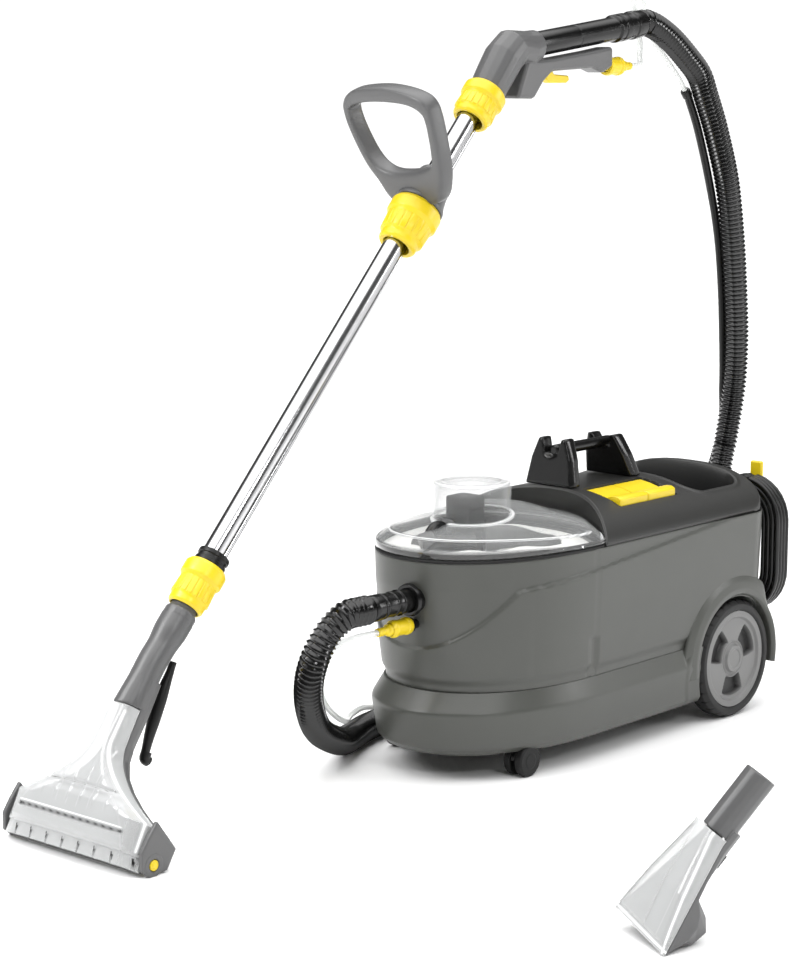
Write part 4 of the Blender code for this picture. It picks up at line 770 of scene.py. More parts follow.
def shell(name, heights, insets, nose_insets, relief, cutters):
    """A band of the housing: the plan at each height, pushed out by the relief, with a thin wall."""
    x, y = plan(insets, nose_insets)
    z = np.broadcast_to(np.asarray(heights)[:, None], x.shape)
    nx, ny = outward(x, y)
    push = SKIN + relief(x, y, z)
    grid = np.stack([x + nx * push, y + ny * push, z], axis=-1)
    obj = surface(name, grid, GREY, "housing", wall=0.0016, sharp=32)
    cut_arches(obj, cutters)
    return obj


def make_housing():
    """The grey body and the base under it, as thin finished skins over their solids."""
    cutters = [arch_cutter(f"arch_{label}", side) for label, side in (("near", -1), ("far", 1))]
    z = np.concatenate([np.linspace(BODY_BOTTOM, 0.312, 84), [0.3142, 0.3155, BODY_TOP]])
    known = (BODY_BOTTOM, BODY_BOTTOM + 0.07, BODY_TOP - 0.040, BODY_TOP)
    inset = np.interp(z, known, (0.007, 0.004, 0.001, 0.0))
    nose = np.interp(z, known, (0.016, 0.007, 0.0, 0.0))
    inset[-2:] += (0.0004, 0.0014)
    shell("body_skin", z, inset, nose, side_relief, cutters)
    profile = [(0.0385, 0.014), (0.0380, 0.011), (0.0480, 0.0022), (0.097, -0.005), (0.102, -0.0042),
        (0.1275, 0.0060)]
    profile = evenly(eased(profile, 0.0045), 60)
    z, inset = profile[:, 0], profile[:, 1]
    nose = np.interp(z, (PAN_BOTTOM, 0.048, PAN_EDGE, 0.1275), (0.004, 0.0, 0.0, 0.012))

    def base_relief(x, y, z):
        far = np.hypot(x - WHEEL_X, z - WHEEL_RADIUS)
        flank = step(np.abs(y), 0.100, 0.140)
        ledge = np.interp(z, (0.05, PAN_EDGE, 0.1275), (0.0, -0.0008, 0.0098))
        return flank * (0.0012 * falls(far, BAND_IN, BAND_OUT) + ledge * falls(far, 0.120, BAND_OUT))

    shell("base_skin", z, inset, nose, base_relief, cutters)
    for cutter in cutters:
        bpy.data.objects.remove(cutter)
    for node in ("fresh_water_body", "base_pan"):
        settle(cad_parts[node], GREY, "housing")


def crown(y):
    """The cover's height above the seam at a distance y from the middle: rise (1 - |y|^2.6)^0.75."""
    share = np.clip(np.abs(y) / HALF_WIDTH, 0, 1)
    return CROWN_RISE * (1 - share**2.6) ** 0.75


def box_distance(x, y, x0, x1, half, radius):
    """How far a point lies outside a rectangle with round corners; negative inside."""
    cx, cy = (x0 + x1) / 2, 0.0
    dx = np.abs(x - cx) - (x1 - x0) / 2 + radius
    dy = np.abs(y - cy) - half + radius
    outside = np.hypot(np.maximum(dx, 0), np.maximum(dy, 0))
    return outside + np.minimum(np.maximum(dx, dy), 0) - radius


def make_cover():
    """The anthracite cover: the crown over the plan, with the storage well and the pedals'
    pocket sunk into it."""
    rows, columns = 300, 240
    across = np.sin(np.linspace(-np.pi / 2, np.pi / 2, columns))
    half = HALF_WIDTH + SKIN
    y = half * across
    front = LID_SPAN_X - (LID_SPAN_X - LID_SIDE_X) * (y / HALF_WIDTH) ** 2 + 0.001
    rear = np.full(columns, REAR_X + 0.002)
    corner = np.maximum(np.abs(y) - (half - REAR_CORNER), 0)
    rear = rear - REAR_CORNER + np.sqrt(np.maximum(REAR_CORNER**2 - corner**2, 0))
    share = np.linspace(0, 1, rows)[:, None]
    x = front + (rear - front) * share
    y = np.broadcast_to(y, x.shape)
    rim = 0.0035 * step(-np.minimum(x - front, rear - x), -0.004, 0.0)
    z = LID_BOTTOM + SKIN + crown(y * HALF_WIDTH / half) - rim
    well = box_distance(x, y, *WELL)
    z = z - (z - WELL_FLOOR) * step(-well, 0.000, 0.018)
    lip = np.exp(-((well - 0.004) / 0.0035) ** 2)
    z = z + 0.0012 * lip
    pocket_x0, pocket_x1 = PEDAL_FRONT - 0.002, PEDAL_FRONT + 2 * PEDAL_LENGTH + 0.004
    middle, reach = (PEDAL_NEAR + PEDAL_FAR) / 2, (PEDAL_FAR - PEDAL_NEAR) / 2 + 0.002
    pocket = box_distance(x, y - middle, pocket_x0, pocket_x1, reach, 0.003)
    z = np.where(pocket < 0.0012, np.minimum(z, np.interp(pocket, (-0.0012, 0.0012), (0.3450, 0.3900))),
        z)
    grid = np.stack([x, y, z], axis=-1)
    skirt_front, skirt_rear = grid[:1].copy(), grid[-1:].copy()
    skirt_front[..., 2] = skirt_rear[..., 2] = BODY_TOP + 0.0008
    grid = np.concatenate([skirt_front, grid, skirt_rear])
    near, far = grid[:, :1].copy(), grid[:, -1:].copy()
    near[..., 2] = far[..., 2] = BODY_TOP + 0.0008
    grid = np.concatenate([near, grid, far], axis=1)
    # Painted shade: the inside values turn the cover near black inside the storage well.
    inside = np.zeros(grid.shape[:2])
    inside[1:-1, 1:-1] = step(-well, 0.001, 0.006)
    surface(
        "cover_skin", grid, DARK, "housing", ("top_cover",), (False, False), wall=0.0018, sharp=50,
        values={"inside": inside},
    )


def lid_outline(count=360):
    """The lid's edge: the superellipse nose and, behind, a parabola across the machine."""
    a = np.radians(np.linspace(90, 270, 240))
    start = FRONT_X + NOSE_LENGTH
    x = start - NOSE_LENGTH * np.abs(np.cos(a)) ** (2 / NOSE_POWER)
    y = HALF_WIDTH * np.sign(np.sin(a)) * np.abs(np.sin(a)) ** (2 / NOSE_POWER)
    back = np.linspace(-1, 1, 120)[1:-1]
    rear = np.stack([LID_SPAN_X - (LID_SPAN_X - LID_SIDE_X) * back**2, HALF_WIDTH * back], axis=1)
    return evenly(np.concatenate([np.stack([x, y], axis=1), rear]), count, True)


def lid_height(x, y, inset):
    """Height of the lid's top: the chamfer's at a distance inset from the edge, but never above
    the crown."""
    chamfer = np.interp(inset, (0.0, 0.0004, 0.020, 0.060, 0.100), (0.0105, 0.011, 0.029, 0.040, 0.058))
    slope = np.clip((x - LID_SPAN_X) / (FRONT_X - LID_SPAN_X), 0, 1)
    top = crown(y) * (1 - slope * LID_SLOPE / CROWN_RISE)
    sharpness = 0.004
    low = -sharpness * np.log(np.exp(-chamfer / sharpness) + np.exp(-top / sharpness)) + 0.0005
    return LID_BOTTOM + np.maximum(np.where(inset < 0.0002, 0.008, low), 0.004)


def make_deck(edge, middle):
    """The tank's pale inner ledge under the lid: a ring that rises in shallow waves towards the
    middle."""
    share = np.linspace(0, 1, 40)[:, None, None]
    inward = unit(middle - edge)
    rear = step(edge[:, 0], LID_SIDE_X - 0.02, LID_SIDE_X)
    start = edge + inward * (0.007 + 0.010 * rear[:, None])
    flat = start + inward * share * 0.045
    angle = np.arctan2(edge[:, 1], edge[:, 0] - TURRET_X)
    wave = 0.0022 * np.sin(7 * angle) * step(share[..., 0], 0.15, 0.4)
    height = LID_BOTTOM - 0.0035 + 0.007 * share[..., 0] + wave
    grid = np.concatenate([flat, height[..., None]], axis=2)
    surface("tank_ledge", grid, WHITE, "dirty_tank", wall=0.0015, sharp=30)


def make_lid():
    """The clear lid: rings from its edge to the foot of the turret, up the turret's wall and
    over its top."""
    edge = lid_outline()
    middle = np.array([TURRET_X, 0.0])
    angle = np.arctan2(edge[:, 1], edge[:, 0] - TURRET_X)
    circle = middle + TURRET_RADIUS * np.stack([np.cos(angle), np.sin(angle)], axis=1)
    share = np.concatenate([[0, 0.004, 0.012], np.linspace(0.03, 0.97, 60), [1.0]])[:, None, None]
    flat = edge + (circle - edge) * share
    inset = np.linalg.norm(flat - edge, axis=2)
    z = lid_height(flat[..., 0], flat[..., 1], inset)
    rim = np.concatenate([edge, np.full((len(edge), 1), LID_BOTTOM)], axis=1)[None]
    top = np.concatenate([flat, z[..., None]], axis=2)
    turret = eased([(0.001, 0.0), (0.0, 0.004), (0.0, 0.096), (-0.0045, 0.0995), (-0.014, 0.0995),
        (-0.016, 0.0975), (-0.050, 0.0975)], 0.0025)
    foot = z[-1]
    height = foot + np.clip(turret[:, 1:] / 0.0995, 0, 1) * (TURRET_TOP - foot)
    ring = TURRET_RADIUS + turret[:, :1]
    wall = np.stack([TURRET_X + ring * np.cos(angle), ring * np.sin(angle), height], axis=-1)
    cap = np.broadcast_to([TURRET_X, 0.0, TURRET_TOP - 0.002], wall[:1].shape)
    grid = np.concatenate([rim, top, wall, cap])
    # Painted highlight lines along the chamfer edge, the rear edge, the turret's foot and its top edge,
    # and painted shade lines beside them and along the rim's bottom rows.
    painted_shade_line, painted_highlight_line = np.zeros(grid.shape[:2]), np.zeros(grid.shape[:2])
    rear = step(edge[:, 0], LID_SIDE_X - 0.004, LID_SIDE_X + 0.004)[None]
    rows = slice(1, 1 + len(inset))
    painted_highlight_line[rows] = (1 - rear) * line(inset - 0.0195, 0.0011) + rear * line(inset - 0.0045, 0.0012)
    seams = line(inset - 0.0220, 0.0009) + line(inset - 0.0015, 0.0012)
    painted_shade_line[rows] = (1 - rear) * seams + rear * line(inset - 0.0085, 0.0010)
    painted_shade_line[:2] = 1.0
    foot_row = len(inset)
    painted_highlight_line[foot_row - 1 : foot_row + 2] = 0.9
    count = len(turret)
    painted_highlight_line[-count - 1 : -1] = np.maximum(painted_highlight_line[-count - 1 : -1],
        0.9 * line(turret[:, :1] + 0.0035, 0.0020))
    painted_shade_line[-count - 1 : -1] = 0.7 * line(turret[:, :1] + 0.0148, 0.0008)
    surface("clear_lid", grid, LID_CLEAR, "lid", ("lid_dome",), wall=LID_WALL, sharp=28,
            values={"painted_shade_line": np.clip(painted_shade_line, 0, 1),
            "painted_highlight_line": np.clip(painted_highlight_line, 0, 1) * (1 - np.clip(painted_shade_line, 0, 1))})
    make_deck(edge, middle)
    band = np.array(eased([(0.0006, 0.0), (0.0012, 0.003), (0.0, 0.0085), (-0.004, 0.0085),
        (-0.004, 0.0)], 0.001, True))
    out = unit(edge - middle)
    frame_grid = np.stack([
        edge[None, :, 0] + band[:, :1] * out[None, :, 0],
        edge[None, :, 1] + band[:, :1] * out[None, :, 1],
        np.broadcast_to(LID_BOTTOM - 0.0040 + band[:, 1:] * 0.45, (len(band), len(edge))),
    ], axis=-1)
    surface("lid_seal_band", frame_grid, RUBBER, "lid", ("lid_seal",), wrap=(True, True))


def make_pedals():
    """Two rocker pedals: a cross profile with a dished top and a raised near ridge, carried along X."""
    profile = [(PEDAL_FAR, 0.3745), (-0.060, 0.3715), (-0.078, 0.3665), (-0.088, 0.3690),
        (-0.094, 0.3715)]
    profile += [(-0.104, 0.3715), (PEDAL_NEAR, 0.3680), (PEDAL_NEAR, 0.3530), (-0.088, 0.3560),
        (PEDAL_FAR, 0.3600)]
    outline = eased(profile, 0.0022, True)
    centre = outline.mean(axis=0)
    for i, name in enumerate(("vacuum", "spray")):
        start = PEDAL_FRONT + i * (PEDAL_LENGTH + 0.001)
        ends = np.array([0, 0.0003, 0.0012, 0.0024, PEDAL_LENGTH - 0.0024, PEDAL_LENGTH - 0.0012,
            PEDAL_LENGTH - 0.0003, PEDAL_LENGTH])
        tuck = np.array([0.0020, 0.0010, 0.0003, 0, 0, 0.0003, 0.0010, 0.0020])[:, None, None]
        inward = unit(centre - outline)
        ring = outline + inward * tuck
        x = np.broadcast_to((start + ends)[:, None, None], (len(ends), len(outline), 1))
        grid = capped(np.concatenate([x, ring], axis=2))
        surface(f"{name}_rocker", grid, YELLOW, f"{name}_switch", (f"{name}_pedal",), sharp=35)


def make_badge():
    """The plain white plate with its coloured stripe."""
    settle(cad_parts["badge_plate"], BADGE, "housing")


# --------------------------------------------------------------- running gear
def make_wheels():
    """Tyres with a block tread and rims whose face is a disc sunk between three spokes."""
    half = WHEEL_WIDTH / 2
    for label, side in (("near", -1), ("far", 1)):
        centre = (WHEEL_X, side * (WHEEL_OUT - half), WHEEL_RADIUS)
        axis = (0, side, 0)

        def tread(height, angle):
            """Cross grooves, offset from one edge to the other."""
            lean = angle * 30 + np.sign(height) * 1.6
            groove = step(np.cos(lean), 0.72, 0.90)
            inside = falls(np.abs(height), half - 0.005, half - 0.001)
            return -0.0016 * groove * inside * step(np.abs(height), 0.002, 0.004)

        shoulder = WHEEL_RADIUS - 0.0055
        tyre = [(RIM_RADIUS + 0.0004, -half + 0.002), (RIM_RADIUS + 0.003, -half), (shoulder, -half),
            (WHEEL_RADIUS, -half + 0.007)]
        inner = np.linspace(-half + 0.008, half - 0.008, 15)
        tyre += [(WHEEL_RADIUS, h) for h in inner]
        tyre += [(WHEEL_RADIUS, half - 0.007), (shoulder, half), (RIM_RADIUS + 0.003, half),
            (RIM_RADIUS + 0.0004, half - 0.002)]
        tyre += [(RIM_RADIUS + 0.0004, -half + 0.002)]
        surface(f"tyre_{label}_tread", turned(tyre, centre, axis, 480, tread, 0.0012), TYRE,
            f"wheel_{label}", (f"tyre_{label}",), sharp=35)
        radius = np.concatenate([[0.0001], np.linspace(0.004, RIM_RADIUS - 0.0004, 90)])[:, None]
        angle = np.linspace(0, 2 * np.pi, 240, endpoint=False)[None]
        third = np.abs((angle + np.pi / 2 + np.pi / 3) % (2 * np.pi / 3) - np.pi / 3)
        spread = 0.60 - 0.10 * step(radius, 0.030, 0.060)
        window = step(radius, 0.0290, 0.0325) * falls(radius, 0.0555, 0.0585)
        window = window * falls(third, spread - 0.07, spread)
        face = half - 0.0065 + 0.004 * step(radius, RIM_RADIUS - 0.013, RIM_RADIUS - 0.009)
        face = face + 0.0045 * falls(radius, 0.0200, 0.0230)
        face = face - 0.0012 * falls(radius, 0.0140, 0.0150)
        face = face - 0.0014 * line(radius - 0.0260, 0.0012)
        height = face - 0.0100 * window
        radius, angle = np.broadcast_arrays(radius, angle)
        front = np.stack([
            WHEEL_X + radius * np.cos(angle), centre[1] + side * height,
            WHEEL_RADIUS + radius * np.sin(angle)
        ], axis=-1)
        back = front[-1:].copy()
        back[..., 1] = centre[1] - side * (half - 0.004)
        hub = np.broadcast_to([WHEEL_X, centre[1] - side * (half - 0.004), WHEEL_RADIUS], back.shape)
        start = np.broadcast_to(front[:1].mean(axis=1, keepdims=True), front[:1].shape)
        grid = np.concatenate([start, front, back, hub])
        # Painted shade: the recess values turn the rim near black between the spokes.
        recess = np.zeros(grid.shape[:2])
        recess[1 : 1 + len(window)] = window
        surface(f"rim_{label}_face", grid, RIM, f"wheel_{label}", (f"rim_{label}",), sharp=35,
            values={"recess": recess})
        moulded_copy(f"castor_fork_{label}", SATIN_BLACK, f"castor_{label}", 0.0009, 3)
        wheel = (CASTOR_X, side * CASTOR_Y, CASTOR_RADIUS)
        disc = [(0, 0.0176), (0.010, 0.0176), (0.012, 0.0168), (CASTOR_RADIUS - 0.0025, 0.0168)]
        disc += [(CASTOR_RADIUS, 0.0146), (CASTOR_RADIUS, 0.0052), (CASTOR_RADIUS - 0.0015, 0.0046),
            (0.004, 0.0046)]
        profile = disc + [(r, -h) for r, h in disc[::-1]]
        surface(f"castor_discs_{label}", turned(profile, wheel, Y_AXIS, 72), RUBBER,
            f"castor_roll_{label}", (f"castor_wheel_{label}",), sharp=35)
    settle(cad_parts["rear_axle"], STEEL, "housing")
    for label, side in (("near", -1), ("far", 1)):
        angle = np.radians(np.linspace(-12, 186, 150))[:, None]
        rear = step(np.cos(angle), 0.55, 0.80)
        section = eased([
            (0.1000, 0.118), (0.1000, 0.1560), (0.1035, 0.1605), (0.1110, 0.1612), (0.1220, 0.1590),
            (0.1330, 0.1545), (0.1345, 0.1500), (0.1100, 0.1480), (0.1050, 0.118),
        ], 0.0018, True)
        radius, reach = section[None, :, 0], section[None, :, 1]
        radius = radius - np.maximum(radius - 0.1060, 0) * 0.80 * rear
        lip = WHEEL_X + radius * np.cos(angle), WHEEL_RADIUS + radius * np.sin(angle)
        grid = np.stack([lip[0], side * reach + 0 * angle, lip[1]], axis=-1)
        surface(f"mudguard_{label}", capped(grid), GREY, "housing", sharp=35)


# ------------------------------------------------------- sockets and couplings
def knurl(count, depth, low, high):
    """Grip ribs round a sleeve between two heights."""

    def ribs(h, a):
        pads = depth * step(np.cos(count * a), -0.2, 0.6)
        return pads * step(h, low, low + 0.0015) * falls(h, high - 0.0015, high)

    return ribs


def make_fittings():
    """The hose's socket and cuff and both quick couplings."""
    place, out = (SOCKET_X, HOSE_Y, HOSE_Z), (-1, 0, 0)
    socket = [(CUFF_RADIUS + 0.0004, -0.018), (0.0193, -0.018), (0.0195, 0.0), (0.0233, 0.0),
        (0.0235, 0.0025), (0.0222, 0.008), (CUFF_RADIUS + 0.0004, 0.008), (CUFF_RADIUS + 0.0004, -0.018)]
    surface("socket_ring", turned(socket, place, out, 72, cut=0.0007), BLACK, "housing", ("hose_socket",))
    cuff = [(0.0142, 0.0880), (0.0182, 0.0878), (0.0190, 0.0820), (0.0190, 0.0700), (0.0178, 0.0672),
        (0.0178, 0.0650), (0.0184, 0.0640), (0.0184, 0.0610), (0.0174, 0.0602)]
    cuff += [(0.0172, 0.0440), (0.0180, 0.0432), (0.0180, 0.0405), (0.0170, 0.0398), (0.0168, 0.0300),
        (0.0186, 0.0294), (0.0186, 0.0270), (0.0168, 0.0264), (0.0167, -0.016), (0.0142, -0.016),
        (0.0142, 0.0880)]
    cuff = surface("hose_cuff", turned(cuff, place, out, 72, cut=0.0006), BLACK, "housing",
        ("hose_cuff_front",))
    made = [cuff]
    seats = (
        ("machine", (SOCKET_X - 0.005, HOSE_Y, COUPLING_Z), (-1, 0, 0), "housing", COUPLING_LENGTH, 0.0),
        ("wand", WAND_SEAT, (1, 0, 0), "wand", 0.039, 0.0006),
    )
    for label, place, axis, body, n, back in seats:
        big = 0.0125 if label == "machine" else 0.0145
        sleeve = [(0.0096, 0.0), (big - 0.001, 0.0), (big, 0.003), (big, 0.008), (big - 0.0012, 0.0092),
            (big - 0.0012, n - 0.012), (big, n - 0.011), (big, n - 0.006), (big - 0.003, n - 0.001),
            (0.0096, n - 0.0006), (0.0096, 0.0)]
        if label == "wand":
            sleeve = [(r, h + back) for r, h in sleeve]
        ribs = knurl(18, 0.0011, 0.0100 + back, n - 0.0125)
        grid = turned(sleeve[1:-1], place, axis, 144, ribs, 0.0006)
        inner = turned([sleeve[-2], sleeve[0]], place, axis, 144, None, 0.0)
        grid = np.concatenate([grid, inner, grid[:1]])
        surface(f"sleeve_{label}", grid, YELLOW, f"{label}_sleeve", (f"coupling_sleeve_{label}",))
        tail = [(0, n + 0.0250), (0.0060, n + 0.0250), (0.0064, n + 0.021), (0.0054, n + 0.020),
            (0.0064, n + 0.015), (0.0054, n + 0.014), (0.0062, n + 0.006), (0.0088, n + 0.004),
            (0.0088, 0.010), (0, 0.010)]
        if label == "wand":
            tail = [(0, 0.0640), (0.0060, 0.0640), (0.0064, 0.058), (0.0054, 0.057), (0.0062, 0.052),
                (0.0080, 0.050), (0.0080, 0.001), (0, 0.001)]
        made.append(surface(f"nipple_{label}", turned(tail, place, axis, 48), YELLOW, body,
            (f"hose_nipple_{label}",)))
    settle(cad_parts["spray_nipple"], BLACK, "housing")
    gland = [(0, 0.016), (0.0052, 0.016), (0.0060, 0.013), (0.0054, 0.012), (0.0066, 0.009),
        (0.0060, 0.008), (0.0078, 0.004), (0.0085, 0.0), (0.0125, 0), (0.0125, -0.003),
        (0.0085, -0.003), (0.0085, -0.012), (0, -0.012)]
    surface("lead_gland", turned(gland, (REAR_X + 0.0085, -0.060, 0.100), X_AXIS, 40, cut=0.0004),
        SATIN_BLACK, "housing", ("cord_gland",))
    return made


# ------------------------------------------------------------------------ wand
def wand(s, under=0.0, side=0.0):
    """A point on the wand: s along its axis, under towards the floor."""
    return WAND_FOOT + WAND_AXIS * s + WAND_UNDER * under + Y_AXIS * side


def make_nut(name, sizes, body, node, count):
    """A union nut: a cone with a rolled collar, and long grip ribs round it."""
    start, end, low, high = sizes
    length = end - start
    profile = [(NUT_BORE, 0.0005), (low - 0.002, 0.0), (low + 0.0008, 0.0035),
        (low + 0.0010, length * 0.16)]
    profile += [(low + 0.35 * (high - low), length * 0.22), (high - 0.0040, length * 0.60),
        (high - 0.0014, length * 0.655)]
    profile += [(high, length * 0.68), (high, length * 0.93), (high - 0.0016, length * 0.96),
        (high - 0.0030, length)]
    profile += [(NUT_BORE, length - 0.0005)]

    def ribs(h, a):
        """Long raised pads with narrow gaps."""
        inside = step(h, length * 0.20, length * 0.25) * step(-h, -length * 0.60, -length * 0.55)
        return 0.0018 * step(np.cos(count * a), -0.92, -0.60) * inside

    grid = joined(turned(profile, wand(start), WAND_AXIS, 240, ribs, 0.0010))
    surface(name, grid, YELLOW, body, (node,), sharp=38)


def make_wand_tubes():
    """The chromed tube, the thin spray tube under it, the lower collar and the three nuts."""
    top = UPPER_NUT[1] - 0.020
    r = MAIN_TUBE_RADIUS
    length = top - 0.020
    main = [(r - 0.0012, 0.0), (r, 0.0), (r, length), (r - 0.0012, length), (r - 0.0012, 0.0)]
    surface("chromed_tube", turned(main, wand(0.020, -0.0045), WAND_AXIS, 96, cut=0.0003), CHROME,
        "wand", ("suction_tube",))
    offset = -0.0045 + r + SPRAY_TUBE_RADIUS + 0.0004
    length = top - 0.040
    thin = [(0, 0), (SPRAY_TUBE_RADIUS, 0), (SPRAY_TUBE_RADIUS, length), (0, length)]
    surface("thin_tube", turned(thin, wand(0.030, offset), WAND_AXIS, 48, cut=0.0003), CHROME, "wand",
        ("spray_tube",))
    collar = [(NUT_BORE - 0.0004, 0.0), (0.0220, 0.0), (0.0225, 0.001), (0.0225, 0.006),
        (0.0212, 0.0068), (0.0212, 0.0120), (0.0225, 0.0128), (0.0225, 0.0176), (0.0220, 0.019),
        (NUT_BORE - 0.0004, 0.019), (NUT_BORE - 0.0004, 0.0)]
    surface("foot_collar", turned(collar, wand(LOWER_NUT[1] + 0.001), WAND_AXIS, 72, cut=0.0004),
        SATIN_BLACK, "wand", ("lower_collar",))
    make_nut("foot_union", LOWER_NUT, "foot_nut", "lower_nut", 20)
    make_nut("loop_union", MIDDLE_NUT, "loop_nut", "middle_nut", 20)
    make_nut("head_union", UPPER_NUT, "head_nut", "upper_nut", 20)


def make_loop_handle():
    """The closed grip: a rounded band carried round a loop, its outer and inner edges two
    smooth closed lines."""
    base = wand(MIDDLE_NUT[1]) + WAND_AXIS * 0.006
    up = unit((-0.31, 0, 0.95))
    roll = np.array(Matrix.Rotation(math.radians(-8), 3, Vector(WAND_AXIS)))
    across, up = roll @ -Y_AXIS, roll @ up
    through = unit(np.cross(across, up))
    outer = [(0.058, 0.008), (0.073, 0.034), (0.081, 0.066), (0.086, 0.100), (0.0885, 0.126),
        (0.087, 0.144)]
    outer += [(0.076, 0.157), (0.046, 0.170), (0.005, 0.1790), (-0.046, 0.181), (-0.069, 0.175),
        (-0.080, 0.164)]
    outer += [(-0.083, 0.150), (-0.083, 0.131), (-0.0776, 0.1005), (-0.0687, 0.070), (-0.0568, 0.046),
        (-0.046, 0.020)]
    outer += [(-0.030, 0.004), (0.0, 0.0), (0.036, 0.001)]
    inner = [(0.060, 0.060), (0.068, 0.080), (0.072, 0.100), (0.0745, 0.120), (0.071, 0.134),
        (0.047, 0.148), (0.0, 0.157)]
    inner += [(-0.042, 0.160), (-0.066, 0.156), (-0.072, 0.146), (-0.0715, 0.128), (-0.067, 0.106),
        (-0.060, 0.084)]
    inner += [(-0.048, 0.067), (-0.028, 0.057), (0.004, 0.053), (0.040, 0.054)]
    outer, inner = smooth_line(outer, 240, True), smooth_line(inner, 240, True)
    middle = inner.mean(axis=0)
    turn = np.linspace(-np.pi, np.pi, 240, endpoint=False)
    outer, inner = (by_bearing(line, middle, turn) for line in (outer, inner))
    angle = np.linspace(0, 2 * np.pi, 24, endpoint=False)
    lift = np.sign(np.sin(angle)) * np.abs(np.sin(angle)) ** 0.5
    span = 0.5 + 0.5 * np.sign(np.cos(angle)) * np.abs(np.cos(angle)) ** 0.5
    flat = inner[:, None] + (outer - inner)[:, None] * span[None, :, None]
    depth = 0.0148 * lift
    grid = base + flat[..., :1] * across + flat[..., 1:] * up + depth[None, :, None] * through
    surface("loop_grip", grid, LIGHT_GREY, "hand_loop", ("d_handle",), wrap=(True, True), sharp=60)
    hub = [(NUT_BORE + 0.0004, 0.001), (0.0365, 0.001), (0.0368, 0.006), (0.0330, 0.016),
        (0.0300, 0.030), (0.0285, 0.050), (0.0262, 0.0585), (0.0240, 0.0620), (NUT_BORE + 0.0004, 0.0620)]
    grid = turned(hub, wand(MIDDLE_NUT[1]), WAND_AXIS, 96, cut=0.002)
    surface("loop_hub", joined(grid), LIGHT_GREY, "hand_loop")


def make_grip():
    """The grey grip head, the black grip pipe with its collar rings and the trigger."""
    moulded_copy("grip_elbow", LIGHT_GREY, "wand", 0.0011, 10)
    run = GRIP_END - GRIP_START
    n = float(np.linalg.norm(run))
    r = GRIP_RADIUS
    profile = [(r - 0.003, n + 0.072), (0.0208, n + 0.072), (0.0215, n + 0.070), (0.0222, n + 0.056),
        (0.0222, n + 0.048), (0.0206, n + 0.0455), (0.0204, n + 0.032), (0.0216, n + 0.030)]
    profile += [(0.0216, n + 0.018), (0.0202, n + 0.0168), (0.0202, n + 0.0152), (0.0216, n + 0.014),
        (0.0216, n + 0.004), (r, n + 0.001), (r, n * 0.52), (r - 0.0006, n * 0.515),
        (r - 0.0006, n * 0.505), (r, n * 0.5), (r, -0.002), (r - 0.003, -0.002)]
    grid = turned(profile, GRIP_START, run, 96, cut=0.0008)
    surface("grip_sleeve", joined(grid), BLACK, "wand", ("grip_pipe",))
    moulded_copy("trigger_lever", YELLOW, "trigger", 0.0005, 4)


# ------------------------------------------------------------------ floor head
class Nozzle:
    """The channel shared by the floor head and the hand nozzle: an arch that flares from its
    throat to its lip."""

    def __init__(self, apex, lip, across, throat, width, depths, flare, power):
        self.apex, self.lip, self.across = np.array(apex), np.array(lip), unit(across)
        self.along = unit(self.lip - self.apex)
        self.front = unit(np.cross(self.across, self.along))
        self.front = self.front if self.front[2] > 0 else -self.front
        self.throat, self.width, self.depths, self.flare, self.power = throat, width, depths, flare, power

    def half(self, share):
        start, end = self.flare
        open_by = np.clip((share - start) / (end - start), 0, 1)
        return self.throat + (self.width / 2 - self.throat) * open_by**self.power

    def depth(self, share):
        return np.interp(share, (0.0, 0.55, 1.0), self.depths)

    def grid(self, share, across, front):
        """Points at share down the channel, across it and out of its front."""
        centre = self.apex + (self.lip - self.apex) * np.asarray(share)[..., None]
        return centre + across[..., None] * self.across + front[..., None] * self.front

    def window(self, relief):
        """The clear front: height = depth (1 - |a|^5)^0.35 over the width, with the relief added."""
        share = np.linspace(0, 1, 150)[:, None]
        a = np.sin(np.linspace(-np.pi / 2, np.pi / 2, 260))[None]
        half = self.half(share)
        height = self.depth(share) * np.clip(1 - np.abs(a) ** 5, 0, 1) ** 0.35
        height = np.maximum(height + relief(share, a * half, half) * step(height, 0.002, 0.008), 0.0)
        share = np.broadcast_to(share, height.shape)
        return self.grid(share, a * half, height), share, a * half, np.broadcast_to(half, height.shape)


HEAD = Nozzle(HEAD_APEX, HEAD_LIP, Y_AXIS, 0.021, HEAD_WIDTH, (0.024, 0.034, 0.026), (0.24, 0.70), 2.0)


def head_relief(share, y, half):
    """The mouth's ribs, its cross crease, the long slot over the lip and the lip's notches."""
    flutes = 0.0007 * line(np.abs(y) % 0.024 - 0.012, 0.0012)
    flutes = flutes * step(share, 0.42, 0.50) * falls(share, 0.66, 0.72)
    crease = -0.0022 * line(share - 0.57, 0.012) * falls(np.abs(y), 0.062, 0.070)
    inset = 0.0030 * step(share, 0.60, 0.66) * step(half - np.abs(y), 0.010, 0.020)
    inset = inset * falls(share, 0.87, 0.90)
    slot = -0.0045 * np.exp(-((share - 0.80) / 0.012) ** 4) * falls(np.abs(y), 0.096, 0.100)
    band = -0.0025 * step(share, 0.905, 0.912)
    notch = -0.0035 * step(np.cos(2 * np.pi * y / 0.0305), 0.93, 0.97) * step(share, 0.94, 0.945)
    return flutes + crease + inset + slot + band + notch


